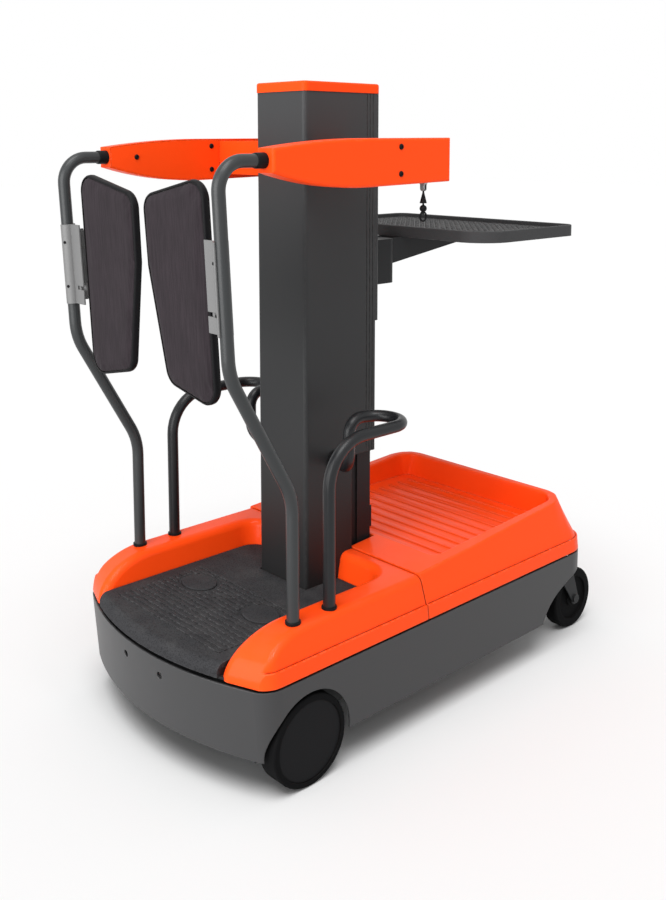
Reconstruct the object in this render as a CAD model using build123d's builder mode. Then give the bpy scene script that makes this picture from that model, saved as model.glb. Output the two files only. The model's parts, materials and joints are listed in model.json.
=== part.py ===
from build123d import *
import os
from math import atan, cos, radians, sin, sqrt, tan

# Stand-on order picker, in millimetres. +X runs from the bumper at the operator end to the load deck,
# +Z is up, and the origin is on the floor under the middle of the machine.
os.makedirs("parts", exist_ok=True)

# Clearances, and how far cuts run past a face or right through
touch_gap = 0.3
running_gap = 0.05
panel_gap = 0.5
past = 1.0
far = 3000.0

# Base outline and skirt
bumper_x = -713.0
deck_end_x = 625.0
body_half_width = 380.0
bumper_bow_radius = 850.0
bumper_corner_radius = 60.0
bumper_rake = 15.0
deck_corner_radius = 85.0
skirt_bottom = 97.0
skirt_top = 270.0
skirt_wall = 5.0
bumper_hole_radius = 9.0
bumper_hole_spacing = 146.0
bumper_hole_z = 228.0

# Orange covers
seam_height = 6.0
crease_height = 36.0
band_slope = 6.0
crease_step = 6.0
side_slope = 18.0
cover_wall = 5.0
seam_x = -97.0
seam_half_gap = 2.0
fender_top = 380.0
standing_half_width = 255.0
wall_slope = 10.0
ridge_depth = 52.0
ridge_corner_radius = 50.0
crest_radius = 22.0
nose_length = 150.0
nose_setback = 4.0
deck_z = 355.0
rim_front_z = 384.0
rim_end_z = 432.0
rim_width = 22.0
rim_radius = 7.0
recess_slope = 10.0
recess_corner_radius = 20.0
recess_ledge = 22.0
deck_rib_pitch = 44.0
deck_rib_count = 11
deck_rib_width = 9.0
deck_rib_height = 3.0

# Platform floor
pan_height = 24.0
flange_height = 6.0
flange_room = 3.0
mat_thickness = 12.0
mat_edge_radius = 22.0
mat_inset = 2.0
mat_lip_gap = 4.0
mat_margin = 40.0
mat_rib_x = -505.0
mat_rib_count = 16
mat_rib_pitch = 17.0
mat_rib_height = 2.0
pedal_x = -443.0
pedal_y = 130.0
pedal_radius_x = 42.0
pedal_radius_y = 54.0
pedal_height = 20.0
pedal_proud = 4.0
pedal_round = 3.0
pedal_travel = 5.0
pedal_room = 1.0
pedal_ring = 10.0

# Drive wheels and motors
drive_x = -497.0
drive_radius = 110.0
drive_width = 60.0
drive_hub_radius = 95.0
drive_axle_radius = 12.0
drive_face_inset = 2.0
tyre_shoulder = 7.0
hub_sink = 3.0
arch_gap = 12.0
motor_radius = 45.0
motor_length = 150.0
motor_flange = 8.0
motor_fin = 4.0
motor_fin_pitch = 16.0
motor_fin_count = 4

# Casters
caster_radius = 92.0
caster_width = 44.0
caster_trail = 55.0
caster_x = 569.75
caster_inset = 75.0
caster_axle_radius = 8.0
caster_stem_radius = 14.0
caster_race_radius = 34.0
fork_leg = 5.0
fork_crown = 8.0
fork_side_gap = 4.0
fork_top_gap = 8.0
race_height = 12.0
axle_boss_radius = 17.0
nut_height = 5.0
axle_nut_radius = 13.0
stem_nut_radius = 22.0
caster_dish_radius = 66.0
caster_dish = 7.0
caster_hub_radius = 26.0

# Chassis frame
plate = 6.0
floor_plate_z = 118.0
floor_plate = 8.0
frame_inset = 80.0
frame_front_x = -600.0
floor_front_x = -400.0
bulkhead_x = 395.0
deck_beam_y = 220.0
deck_beam_front_x = 20.0
deck_beam_setback = 36.0
axle_room = 2.0
caster_plate = 10.0
mast_well_half_width = 90.0
mast_well_front_x = -165.0
mast_well_gap = 2.0

# Mast rails, seen in plan: C sections nested in one another
mast_back_x = -10.0
mast_depth = 50.0
mast_half_width = 79.0
mast_flange = 8.0
mast_web = 6.0
mast_lip_y = 53.0
mast_headroom = 72.0
foot_plate = 12.0
crosshead_gap = 5.0
mid_gap = 3.0
mid_flange = 6.0
mid_lip_y = 40.0
mid_bottom = 330.0
tie = 6.0
tie_height = 60.0
crosshead = 16.0
shoe_gap = 0.4
shoe_height = 210.0
pad_height = 70.0
pad_end = 5.0
carriage_plate = 10.0
carriage_plate_y = 38.0
spine = 8.0

# Lift cylinder, chains and pulleys
cylinder_x = -120.0
cylinder_radius = 25.0
cylinder_bore = 20.0
cylinder_drop = 55.0
cylinder_base = 14.0
gland_height = 20.0
rod_radius = 16.0
piston_height = 30.0
chain_y = 60.0
chain_width = 16.0
chain_thickness = 12.0
pulley_x = -100.0
pulley_drop = 45.0
pulley_pitch_radius = 30.0
pulley_flange_radius = 34.0
pulley_flange = 2.7
pulley_axle_radius = 8.0
cheek = 5.0
cheek_half = 20.0
chain_anchor_z = 520.0
chain_anchor_height = 20.0
lug_margin = 2.0
guard_wall = 3.0
guard_room = 3.0
guard_drop = 235.0

# Column
column_front_x = -263.0
column_half_width = 96.0
column_top = 1607.0
column_wall = 4.0
column_corner_radius = 12.0
column_lip = 10.0
column_skirt_z = 640.0
column_groove = 1.5
column_groove_pitch = 11.0
column_groove_count = 3
cap_height = 25.0
cap_overhang = 2.0
cap_crown = 6.0
back_bottom = 1000.0
back_gap = 4.0
back_wall = 4.0

# Tubes and rails
tube_radius = 15.0
tube_wall = 2.5
tube_y = 322.0
guard_foot_x = -503.0
guard_knee_z = 678.0
guard_elbow_x = -678.0
guard_elbow_z = 984.0
guard_top_x = -703.0
rail_x = -389.0
rail_z = 808.0
rail_end_x = -140.0
knee_radius = 160.0
top_bend_radius = 62.0
rail_bend_radius = 110.0
rail_corner_radius = 62.0
collar_radius = 18.5
collar_height = 5.0
rail_flange_radius = 28.0
rail_flange = 6.0

# Arms and consoles
arm_drop = 166.0
arm_front_x = -578.0
arm_bulge_x = -283.0
arm_back_x = -6.0
arm_front_half = 26.5
arm_bulge_top = 48.0
arm_bulge_bottom = 65.0
arm_back_top = 50.0
arm_back_bottom = 58.0
arm_inner_y = 302.0
arm_depth = 52.0
arm_wall = 3.0
arm_edge_radius = 8.0
tube_seat = 40.0
console_front_x = -229.0
console_back_x = -110.0
console_drop = 49.0
console_rise = 42.0
bolt_radius = 4.0
bolt_head_radius = 7.0
bolt_head = 4.0
bolt_length = 14.0
bolt_pitch = 64.0
bolt_x = -186.0
bolt_inner_shift = 70.0
bolt_drop = 4.0

# Gates, with the places of their corners from the middle of the machine and of the arms
gate_x = -672.0
gate_hinge_y = 281.0
gate_plate = 6.0
gate_pad = 11.0
gate_pad_inset = 5.0
gate_corner_radius = 44.0
gate_bend_radius = 160.0
gate_free_top = (20.0, -80.0)
gate_hinge_top = (257.0, -30.0)
gate_hinge_bottom = (260.0, -550.0)
gate_free_bottom = (76.0, -511.0)
gate_free_bend = (24.0, -243.0)
hinge_pin_radius = 4.0
hinge_barrel_radius = 9.0
hinge_drop = 352.0
hinge_knuckle = 42.0
hinge_middle = 88.0
hinge_gap = 0.5
bracket_height = 202.0
bracket_plate = 4.0
leaf_edge_gap = 3.0
leaf_slot = 10.0
leaf_slot_drop = 59.0

# Load tray
tray_front_x = 150.0
tray_back_x = 560.0
tray_half_width = 345.0
tray_bottom = 1213.0
tray_height = 32.0
tray_lip = 13.0
tray_wall = 8.0
tray_floor = 7.0
tray_rim = 3.0
tray_front_radius = 95.0
tray_back_radius = 34.0
sleeve_back_x = 111.0
sleeve_half_width = 58.0
sleeve_bottom = 1090.0
sleeve_corner_radius = 24.0
sleeve_gap = 2.0
pocket_wall = 6.0
rail_stem_half = 14.0
rail_stem = 18.0
rail_head_half = 26.0
rail_head = 14.0
rail_gap = 0.4
gusset_drop = 70.0
gusset_reach = 470.0
gusset_plate = 6.0
gusset_tip = 16.0
gusset_y = 46.0
knob_radius = 20.0
knob_length = 18.0
knob_shaft_radius = 5.0
knob_flutes = 6
flute_radius = 7.0
flute_offset = 2.0
knob_z = 1130.0

# Lanyard hook
hook_x = -78.0
hook_y = -328.0
hook_clevis_drop = 14.0
hook_clevis_width = 16.0
hook_clevis_plate = 4.0
hook_stud_radius = 3.0
hook_neck_radius = 2.4
hook_neck = 4.0
hook_pin_radius = 2.5
hook_eye_radius = 6.5
hook_eye_width = 5.0
hook_cheek = 2.5
hook_cone_radius = 9.0
hook_cone = 26.0
hook_ball_radius = 9.0
hook_link_radius = 11.0
hook_wire_radius = 2.6

# Controls on the near console, with their heights from the middle of the arms
pod_depth = 50.0
pod_y0 = -290.0
pod_y1 = -110.0
pod_drop = 43.0
pod_rise = 37.0
pod_radius = 9.0
steer_y = -138.0
steer_lift = -3.0
steer_radius = 23.0
steer_depth = 22.0
steer_stem_radius = 8.0
stop_y = -182.0
stop_lift = 15.0
stop_radius = 15.0
stop_stem_radius = 8.0
stop_travel = 4.0
horn_y = -182.0
horn_lift = -25.0
horn_radius = 8.0
horn_travel = 3.0
lever_y = -216.0
lever_lift = -1.0
lever_hub_radius = 9.0
lever_hub_width = 22.0
lever_reach = 34.0
lever_paddle = 8.0
rocker_y = -250.0
rocker_lift = -1.0
rocker_width = 22.0
rocker_radius = 20.0
key_y = -276.0
key_lift = -1.0
key_radius = 7.0
key_bow = 18.0
control_stem = 18.0
slot_gap = 6.0
stub = 3.0
lever_slot_half = 24.0
rocker_slot_half = 22.0

# Battery, hydraulic unit and motor controller
battery_xs = (60.0, 330.0)
battery_half_width = 170.0
battery_height = 204.0
lid_inset = 6.0
terminal_radius = 11.0
power_xs = (-350.0, -190.0)
power_ys = (40.0, 200.0)
tank_height = 84.0
pump_radius = 36.0
pump_height = 40.0
valve_height = 28.0
valve_width = 36.0
case_height = 60.0
fin_count = 9
fin_height = 32.0
fin_width = 5.0

# Sizes that follow from the ones above
cover_bottom = skirt_top + seam_height
drive_face_y = body_half_width - drive_face_inset
caster_y = body_half_width - caster_inset
frame_half_width = body_half_width - frame_inset
mast_top = column_top - mast_headroom
pulley_z = mast_top - pulley_drop
cylinder_top = mast_top - cylinder_drop
guard_top = mast_top - guard_drop
arm_z = column_top - arm_drop
console_bottom = arm_z - console_drop
console_top = arm_z + console_rise
hinge_bottom = arm_z - hinge_drop
pod_bottom = arm_z - pod_drop
pod_top = arm_z + pod_rise
steer_z = arm_z + steer_lift
stop_z = arm_z + stop_lift
horn_z = arm_z + horn_lift
lever_z = arm_z + lever_lift
rocker_z = arm_z + rocker_lift
key_z = arm_z + key_lift
crease_z = cover_bottom + crease_height
band_inset = crease_height * tan(radians(band_slope))
pan_top = cover_bottom + pan_height
flange_top = cover_bottom + flange_height
mat_top = pan_top + mat_thickness
floor_top = floor_plate_z + floor_plate
top_plate_z = skirt_top - 2 * plate
wheel_top = 2 * caster_radius
crown_z = wheel_top + fork_top_gap
race_z = crown_z + fork_crown
caster_plate_z = race_z + race_height
deck_beam_top = deck_z - cover_wall
mast_front_x = mast_back_x - mast_depth
mid_half_width = mast_half_width - mast_web - mid_gap
mid_back_x = mast_back_x - mast_flange - mid_gap
mid_front_x = mast_front_x + mast_flange + mid_gap
shoe_back_x = mid_back_x - mid_flange - shoe_gap
shoe_front_x = mid_front_x + mid_flange + shoe_gap
shoe_y = mid_half_width - mid_flange - shoe_gap
crosshead_z = mast_top + crosshead_gap
back_x = mast_back_x + tie + back_gap
sides = (("left", 1), ("right", -1))


def save(builder, name):
    """Labels a finished piece and writes its STEP file."""
    builder.part.label = name
    export_step(builder.part, f"parts/{name}.step")


def block(xs, ys, zs, mode=Mode.ADD):
    """A box between pairs of X, Y and Z values, given in any order."""
    middle = tuple(sum(pair) / 2 for pair in (xs, ys, zs))
    with Locations(middle):
        Box(abs(xs[1] - xs[0]), abs(ys[1] - ys[0]), abs(zs[1] - zs[0]), mode=mode)


def rod_along(axis, middle, radius, length, mode=Mode.ADD):
    """A round bar of a given length about a point, along X, Y or Z."""
    turn = {"X": (0, 90, 0), "Y": (90, 0, 0), "Z": (0, 0, 0)}[axis]
    with Locations(Location(middle, turn)):
        Cylinder(radius, length, mode=mode)


def base_outline(inset=0.0, rake=0.0, back=deck_end_x, back_radius=deck_corner_radius):
    """Plan outline of the base in the current sketch: bowed bumper, straight sides, rounded corners."""
    nose = bumper_x + rake
    bow = bumper_bow_radius
    corner_x = nose + bow - sqrt(bow**2 - body_half_width**2)
    near, far = (corner_x, -body_half_width), (corner_x, body_half_width)
    with BuildLine() as edge:
        ThreePointArc(far, (nose, 0), near)
        Polyline(near, (back, -body_half_width), (back, body_half_width), far)
    make_face(edge.edges())
    fillet(vertices().group_by(Axis.X)[0], bumper_corner_radius)
    if back_radius:
        fillet(vertices().group_by(Axis.X)[-1], back_radius)
    if inset:
        offset(amount=-inset)


def c_section(half_width, lip_y, front, back, flange, web, side):
    """One mast rail in the current sketch: a C that opens towards the middle."""
    with Locations(((front + back) / 2, side * (half_width + lip_y) / 2)):
        Rectangle(back - front, half_width - lip_y)
    open_width = half_width - web - lip_y
    with Locations(((front + back) / 2, side * (lip_y + open_width / 2))):
        Rectangle(back - front - 2 * flange, open_width, mode=Mode.SUBTRACT)


# Base skirt: a steel band round the base, with wheel arches and the bumper holes
with BuildPart() as base_skirt:
    for inset, mode in ((0.0, Mode.ADD), (skirt_wall, Mode.SUBTRACT)):
        with BuildSketch(Plane.XY.offset(skirt_bottom)):
            base_outline(inset, bumper_rake)
        with BuildSketch(Plane.XY.offset(skirt_top)):
            base_outline(inset)
        loft(mode=mode)
    rod_along("Y", (drive_x, 0, drive_radius), drive_radius + arch_gap, 3 * body_half_width, Mode.SUBTRACT)
    arch_start_x = caster_x - caster_trail - caster_radius - 2 * arch_gap
    with BuildSketch(Plane.XZ):
        with BuildLine():
            rise = Spline(
                (arch_start_x, skirt_bottom - past),
                (arch_start_x + caster_radius, wheel_top - panel_gap),
                (deck_end_x, caster_plate_z + arch_gap),
                tangents=((0.35, 1), (1, 0.15)),
            )
            Polyline(rise @ 1, (deck_end_x + past, skirt_bottom - past), rise @ 0)
        make_face()
    extrude(amount=2 * body_half_width, both=True, mode=Mode.SUBTRACT)
    for y in (-bumper_hole_spacing / 2, bumper_hole_spacing / 2):
        rod_along("X", (bumper_x, y, bumper_hole_z), bumper_hole_radius, 8 * skirt_wall, Mode.SUBTRACT)
save(base_skirt, "base_skirt")

# Chassis frame: floor plate, side plates, top plate under the platform, caster plate and deck beams
frame_edge = skirt_wall + panel_gap
frame_rake = bumper_rake * (skirt_top - top_plate_z) / (skirt_top - skirt_bottom)
with BuildPart() as chassis_frame:
    with BuildSketch(Plane.XY.offset(top_plate_z)):
        base_outline(frame_edge, frame_rake)
        with Locations((seam_x + deck_end_x, 0)):
            Rectangle(2 * deck_end_x, 3 * body_half_width, mode=Mode.SUBTRACT)
        with Locations((seam_x, 0)):
            Rectangle(2 * (seam_x - mast_well_front_x), 2 * mast_well_half_width, mode=Mode.SUBTRACT)
    extrude(amount=plate)
    with BuildSketch(Plane.XY.offset(caster_plate_z)):
        base_outline(frame_edge)
        with Locations((bulkhead_x - deck_end_x, 0)):
            Rectangle(2 * deck_end_x, 3 * body_half_width, mode=Mode.SUBTRACT)
    extrude(amount=caster_plate)
    frame_ys = (-frame_half_width, frame_half_width)
    block((floor_front_x, bulkhead_x), frame_ys, (floor_plate_z, floor_top))
    block((bulkhead_x - plate, bulkhead_x), frame_ys, (floor_top, caster_plate_z + caster_plate))
    for side in (1, -1):
        outer = side * frame_half_width
        wall_ys = (outer, outer - side * plate)
        block((frame_front_x, bulkhead_x), wall_ys, (floor_top, top_plate_z))
        block((frame_front_x, floor_front_x), wall_ys, (drive_radius - motor_radius, floor_top))
        beam_ys = (side * deck_beam_y, side * (deck_beam_y - plate))
        block((deck_beam_front_x, bulkhead_x), beam_ys, (floor_top, deck_beam_top))
        block((bulkhead_x, deck_end_x - deck_beam_setback), beam_ys, (caster_plate_z, deck_beam_top))
        stem = (caster_x, side * caster_y, caster_plate_z)
        rod_along("Z", stem, caster_stem_radius + running_gap, 4 * caster_plate, Mode.SUBTRACT)
        axle = (drive_x, outer, drive_radius)
        rod_along("Y", axle, drive_axle_radius + axle_room, 8 * plate, Mode.SUBTRACT)
save(chassis_frame, "chassis_frame")


def cover_mass(inset, top_z, front_x=None, back_x=None):
    """The flaring outer form of the orange covers, drawn in by an inset, up to a given height."""
    with BuildPart() as mass:
        with BuildSketch(Plane.XY.offset(cover_bottom)):
            base_outline(inset)
        extrude(amount=crease_height, taper=band_slope)
        with BuildSketch(Plane.XY.offset(crease_z)):
            base_outline(inset + band_inset + crease_step)
        extrude(amount=top_z - crease_z, taper=side_slope)
        if front_x is not None:
            block((front_x - far, front_x), (-far, far), (0, far), Mode.SUBTRACT)
        if back_x is not None:
            block((back_x, back_x + far), (-far, far), (0, far), Mode.SUBTRACT)
    return mass.part


# Deck cover: an orange moulded shell with a rim that rises to the deck end and a ribbed, sunk deck
deck_front_x = seam_x + seam_half_gap
rim_rise = (rim_end_z - rim_front_z) / (deck_end_x - deck_front_x)
rim_plane = Plane((deck_front_x, 0, rim_front_z), z_dir=(-rim_rise, 0, 1))
deck_outer = cover_mass(0.0, rim_end_z + past, front_x=deck_front_x)
deck_inner = cover_mass(cover_wall, deck_z - cover_wall, front_x=deck_front_x + cover_wall)
rim_inset = band_inset + crease_step + (rim_end_z - crease_z) * tan(radians(side_slope)) + rim_width
recess_inset = rim_inset + (rim_end_z - deck_z) * tan(radians(recess_slope))
recess_half_width = body_half_width - recess_inset
recess_front_x = mast_back_x + tie + recess_ledge
recess_length = deck_end_x - recess_inset - recess_front_x
recess_x = recess_front_x + recess_length / 2
with BuildPart() as deck_cover:
    add(deck_outer)
    split(bisect_by=rim_plane, keep=Keep.BOTTOM)
    with BuildSketch(Plane.XY.offset(deck_z)):
        with Locations((recess_x, 0)):
            RectangleRounded(recess_length, 2 * recess_half_width, recess_corner_radius)
    extrude(amount=2 * (rim_end_z - deck_z), taper=-recess_slope, mode=Mode.SUBTRACT)
    rim_edges = faces().filter_by(rim_plane).edges().filter_by(lambda e: (e @ 0.5).X > deck_front_x + past)
    fillet(rim_edges, rim_radius)
    with BuildSketch(Plane.XY.offset(deck_z)):
        with Locations((recess_x, 0)):
            with GridLocations(deck_rib_pitch, 1, deck_rib_count, 1):
                SlotOverall(2 * recess_half_width - 4 * rim_width, deck_rib_width, rotation=90)
    extrude(amount=deck_rib_height)
    add(deck_inner, mode=Mode.SUBTRACT)
    well_xs = (deck_front_x - past, mast_back_x + tie + mast_well_gap)
    block(well_xs, (-mast_well_half_width, mast_well_half_width), (0, far), Mode.SUBTRACT)
save(deck_cover, "deck_cover")

# Fenders: orange moulded shells with a rounded nose beside the standing area and a ridge behind it
bow_turn = standing_half_width * 1.2 / bumper_bow_radius
nose_point_x = bumper_x + bumper_bow_radius * (1 - cos(bow_turn))
nose_point_y = bumper_bow_radius * sin(bow_turn)
fender_back_x = seam_x - seam_half_gap
ridge_x = fender_back_x - ridge_depth


def fender_mass(side, inset):
    """The fender's form drawn in by an inset: cover form, sloping inner walls, rounded nose and crest."""
    top = fender_top - inset
    room = standing_half_width + inset
    ridge_end_y = column_half_width + panel_gap + inset
    with BuildPart() as mass:
        add(cover_mass(inset, top, back_x=fender_back_x - inset))
        with BuildSketch(Plane.XY.offset(pan_top)):
            with Locations((ridge_x + inset - far / 2, 0)):
                RectangleRounded(far, 2 * room, ridge_corner_radius + inset)
        extrude(amount=fender_top - pan_top + past, taper=-wall_slope, mode=Mode.SUBTRACT)
        block((-far, far), (-side * far, side * room), (0, pan_top), Mode.SUBTRACT)
        block((-far, far), (-side * far, side * ridge_end_y), (0, far), Mode.SUBTRACT)
        inward = (cos(bow_turn), -side * sin(bow_turn), 0)
        across = (-side * sin(bow_turn), -cos(bow_turn), 0)
        nose_plane = Plane((nose_point_x, side * nose_point_y, 0), x_dir=inward, z_dir=across)
        with BuildSketch(nose_plane.offset(-far)):
            with BuildLine() as nose:
                start = nose_setback + inset
                end = start + nose_length
                rise = top - cover_bottom
                curve = EllipticalCenterArc((end, cover_bottom), nose_length, rise, 90, arc_size=90)
                Polyline(curve @ 1, (start - far, cover_bottom), (start - far, far), (end, far), curve @ 0)
            make_face(nose.edges())
        extrude(amount=2 * far, mode=Mode.SUBTRACT)
        crest = edges().filter_by(
            lambda e: (e @ 0.5).Z > crease_z + cover_wall
            and (e @ 0.5).X < fender_back_x - inset - past
            and side * (e @ 0.5).Y > ridge_end_y + past
            and (e.geom_type == GeomType.BSPLINE or ((e @ 0.5).X > rail_x and abs((e % 0.5).Z) < past / 2))
        )
        fillet(crest, crest_radius - inset)
    return mass.part


flange_inset = cover_wall + flange_room
for side_name, side in sides:
    fender_outer = fender_mass(side, 0.0)
    fender_inner = fender_mass(side, cover_wall)
    with BuildPart() as fender:
        add(fender_outer)
        add(fender_inner, mode=Mode.SUBTRACT)
        with BuildSketch(Plane.XY.offset(cover_bottom - past)):
            base_outline(flange_inset - touch_gap)
        extrude(amount=flange_height + past, mode=Mode.SUBTRACT)
        for x in (guard_foot_x, rail_x):
            foot = (x, side * tube_y, fender_top)
            rod_along("Z", foot, tube_radius + touch_gap, 4 * cover_wall, Mode.SUBTRACT)
    save(fender, f"{side_name}_fender")


def standing_area(inset, half_width, back_x=fender_back_x, back_radius=past):
    """Plan of the platform in the current sketch: base outline, narrowed, rounded at the back."""
    base_outline(inset)
    with Locations((back_x - far / 2, 0)):
        RectangleRounded(far, 2 * half_width, back_radius, mode=Mode.INTERSECT)


def pedal_shape(growth):
    """Both pedal ovals in the current sketch."""
    with Locations((pedal_x, pedal_y), (pedal_x, -pedal_y)):
        Ellipse(pedal_radius_x + growth, pedal_radius_y + growth)


# Platform floor: a steel pan with a flange that carries the fenders and the tubes
pedal_bottom = mat_top + pedal_proud - pedal_height
pan_half_width = standing_half_width - panel_gap
with BuildPart() as platform_floor:
    with BuildSketch(Plane.XY.offset(cover_bottom)):
        standing_area(flange_inset, body_half_width)
    extrude(amount=flange_height)
    with BuildSketch(Plane.XY.offset(flange_top)):
        standing_area(flange_inset, pan_half_width)
    extrude(amount=pan_height - flange_height)
    block((mast_well_front_x, 0), (-mast_well_half_width, mast_well_half_width), (0, far), Mode.SUBTRACT)
    with BuildSketch(Plane.XY.offset(pedal_bottom - pedal_travel - pedal_room)):
        pedal_shape(touch_gap)
    extrude(amount=2 * pedal_height, mode=Mode.SUBTRACT)
save(platform_floor, "platform_floor")

# Floor mat: ribbed rubber with a lip rolled over the front edge of the pan
mat_lip_bottom = cover_bottom + mat_lip_gap
mat_half_width = standing_half_width - 2 * panel_gap
mat_rib_half_length = standing_half_width - mat_margin
with BuildPart() as floor_mat:
    with BuildSketch(Plane.XY.offset(mat_lip_bottom)):
        standing_area(mat_inset, mat_half_width, ridge_x - panel_gap, ridge_corner_radius)
    extrude(amount=mat_top - mat_lip_bottom)
    fillet(faces().sort_by(Axis.Z)[-1].edges().sort_by(Axis.X)[0], mat_edge_radius)
    with BuildSketch(Plane.XY.offset(mat_lip_bottom - past)):
        standing_area(flange_inset - panel_gap, body_half_width)
    extrude(amount=pan_top - mat_lip_bottom + past, mode=Mode.SUBTRACT)
    with BuildSketch(Plane.XY.offset(mat_top)):
        with Locations((mat_rib_x, 0)):
            with GridLocations(mat_rib_pitch, 1, mat_rib_count, 1):
                Rectangle(mat_rib_pitch / 2, 2 * mat_rib_half_length)
        with Locations((pedal_x, pedal_y), (pedal_x, -pedal_y)):
            Ellipse(pedal_radius_x + pedal_ring, pedal_radius_y + pedal_ring, mode=Mode.SUBTRACT)
    extrude(amount=mat_rib_height)
    with BuildSketch(Plane.XY.offset(pan_top - past)):
        pedal_shape(2 * touch_gap)
    extrude(amount=2 * pedal_height, mode=Mode.SUBTRACT)
    notch_y = column_half_width + panel_gap
    block((column_front_x - panel_gap, 0), (-notch_y, notch_y), (0, far), Mode.SUBTRACT)
save(floor_mat, "floor_mat")

# Presence pedals: domed oval pads on springs, let into the mat
for side_name, side in sides:
    with BuildPart() as pedal:
        with BuildSketch(Plane.XY.offset(pedal_bottom)):
            with Locations((pedal_x, side * pedal_y)):
                Ellipse(pedal_radius_x, pedal_radius_y)
        extrude(amount=pedal_height)
        fillet(edges().sort_by(Axis.Z)[-1], pedal_round)
    save(pedal, f"{side_name}_pedal")

# Fixed mast: two C rails on a foot plate, tied on the deck side, with guards round the rear chain runs
guard_bottom = deck_z
rear_chain_x = pulley_x + pulley_pitch_radius
front_chain_x = pulley_x - pulley_pitch_radius
guard_x = rear_chain_x - chain_thickness / 2 - guard_room - guard_wall
guard_half = chain_width / 2 + guard_room + guard_wall
with BuildPart() as fixed_mast:
    for side in (1, -1):
        with BuildSketch(Plane.XY.offset(floor_top)):
            c_section(mast_half_width, mast_lip_y, mast_front_x, mast_back_x, mast_flange, mast_web, side)
        extrude(amount=mast_top - floor_top)
        y0, y1 = side * (chain_y - guard_half), side * (chain_y + guard_half)
        block((guard_x, mast_front_x), (y0, y1), (guard_bottom, guard_top))
        inner = (y0 + side * guard_wall, y1 - side * guard_wall)
        guard_zs = (guard_bottom + guard_wall, guard_top)
        block((guard_x + guard_wall, mast_front_x), inner, guard_zs, Mode.SUBTRACT)
    mast_ys = (-mast_half_width, mast_half_width)
    block((mast_front_x, mast_back_x + tie), mast_ys, (floor_top, floor_top + foot_plate))
    for z in (deck_z + tie_height, (deck_z + mast_top) / 2, mast_top - tie_height):
        block((mast_back_x, mast_back_x + tie), mast_ys, (z, z + tie_height))
save(fixed_mast, "fixed_mast")

# Lift cylinder: tube with a closed foot and a gland, and the rod with its piston
cylinder_foot = floor_top + cylinder_base
with BuildPart() as lift_cylinder_tube:
    with BuildSketch(Plane.XY.offset(floor_top)):
        with Locations((cylinder_x, 0)):
            Circle(cylinder_radius)
    extrude(amount=cylinder_top - floor_top)
    for radius, z0, z1 in (
        (cylinder_bore, cylinder_foot, cylinder_top - gland_height),
        (rod_radius + running_gap, cylinder_foot, cylinder_top),
    ):
        rod_along("Z", (cylinder_x, 0, (z0 + z1) / 2), radius, z1 - z0, Mode.SUBTRACT)
save(lift_cylinder_tube, "lift_cylinder_tube")

with BuildPart() as lift_cylinder_rod:
    piston_bottom = cylinder_foot + touch_gap
    for radius, z0, z1 in (
        (cylinder_bore - running_gap, piston_bottom, piston_bottom + piston_height),
        (rod_radius, piston_bottom, crosshead_z),
    ):
        rod_along("Z", (cylinder_x, 0, (z0 + z1) / 2), radius, z1 - z0)
save(lift_cylinder_rod, "lift_cylinder_rod")

# Mid mast: nested C rails with ties, a crosshead over the rod, and forks that carry the pulley axles
pulley_half = chain_width / 2 + touch_gap + pulley_flange
with BuildPart() as mid_mast:
    for side in (1, -1):
        with BuildSketch(Plane.XY.offset(mid_bottom)):
            c_section(mid_half_width, mid_lip_y, mid_front_x, mid_back_x, mid_flange, mid_flange, side)
        extrude(amount=crosshead_z - mid_bottom)
        for y in (chain_y - pulley_half - mid_gap - cheek, chain_y + pulley_half + mid_gap):
            block(
                (pulley_x - cheek_half, pulley_x + cheek_half),
                (side * y, side * (y + cheek)),
                (pulley_z - cheek_half, crosshead_z),
            )
        axle_length = 2 * (pulley_half + mid_gap + cheek)
        rod_along("Y", (pulley_x, side * chain_y, pulley_z), pulley_axle_radius, axle_length)
    for z in (mid_bottom, (mid_bottom + mast_top) / 2, crosshead_z - 2 * tie_height):
        block((mid_back_x - mid_flange, mid_back_x), (-mid_lip_y, mid_lip_y), (z, z + tie_height))
    head_front = cylinder_x - cylinder_radius
    head_half = chain_y + pulley_half + mid_gap + cheek
    block((head_front, mid_back_x), (-head_half, head_half), (crosshead_z, crosshead_z + crosshead))
save(mid_mast, "mid_mast")

# Slide pads: nylon shoes on the foot of the mid mast, running in the fixed rails
with BuildPart() as mid_mast_pads:
    for side in (1, -1):
        for z in (mid_bottom + pad_end, mid_bottom + 3 * pad_height):
            for x0, x1 in (
                (mid_front_x - mid_gap + shoe_gap, mid_front_x),
                (mid_back_x, mid_back_x + mid_gap - shoe_gap),
            ):
                ys = (side * (mast_lip_y + panel_gap), side * mid_half_width)
                block((x0, x1), ys, (z, z + pad_height))
            block(
                (mid_front_x, mid_back_x),
                (side * mid_half_width, side * (mid_half_width + mid_gap - shoe_gap)),
                (z, z + pad_height),
            )
save(mid_mast_pads, "mid_mast_pads")

# Chain pulleys: flanged rollers on the mid mast's axles
groove_radius = pulley_pitch_radius - chain_thickness / 2 - touch_gap
with BuildPart() as chain_pulleys:
    for side in (1, -1):
        middle = (pulley_x, side * chain_y, pulley_z)
        rod_along("Y", middle, groove_radius, 2 * pulley_half)
        for y in (-pulley_half + pulley_flange / 2, pulley_half - pulley_flange / 2):
            rod_along("Y", (pulley_x, side * chain_y + y, pulley_z), pulley_flange_radius, pulley_flange)
        rod_along("Y", middle, pulley_axle_radius + running_gap, 3 * pulley_half, Mode.SUBTRACT)
save(chain_pulleys, "chain_pulleys")

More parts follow.
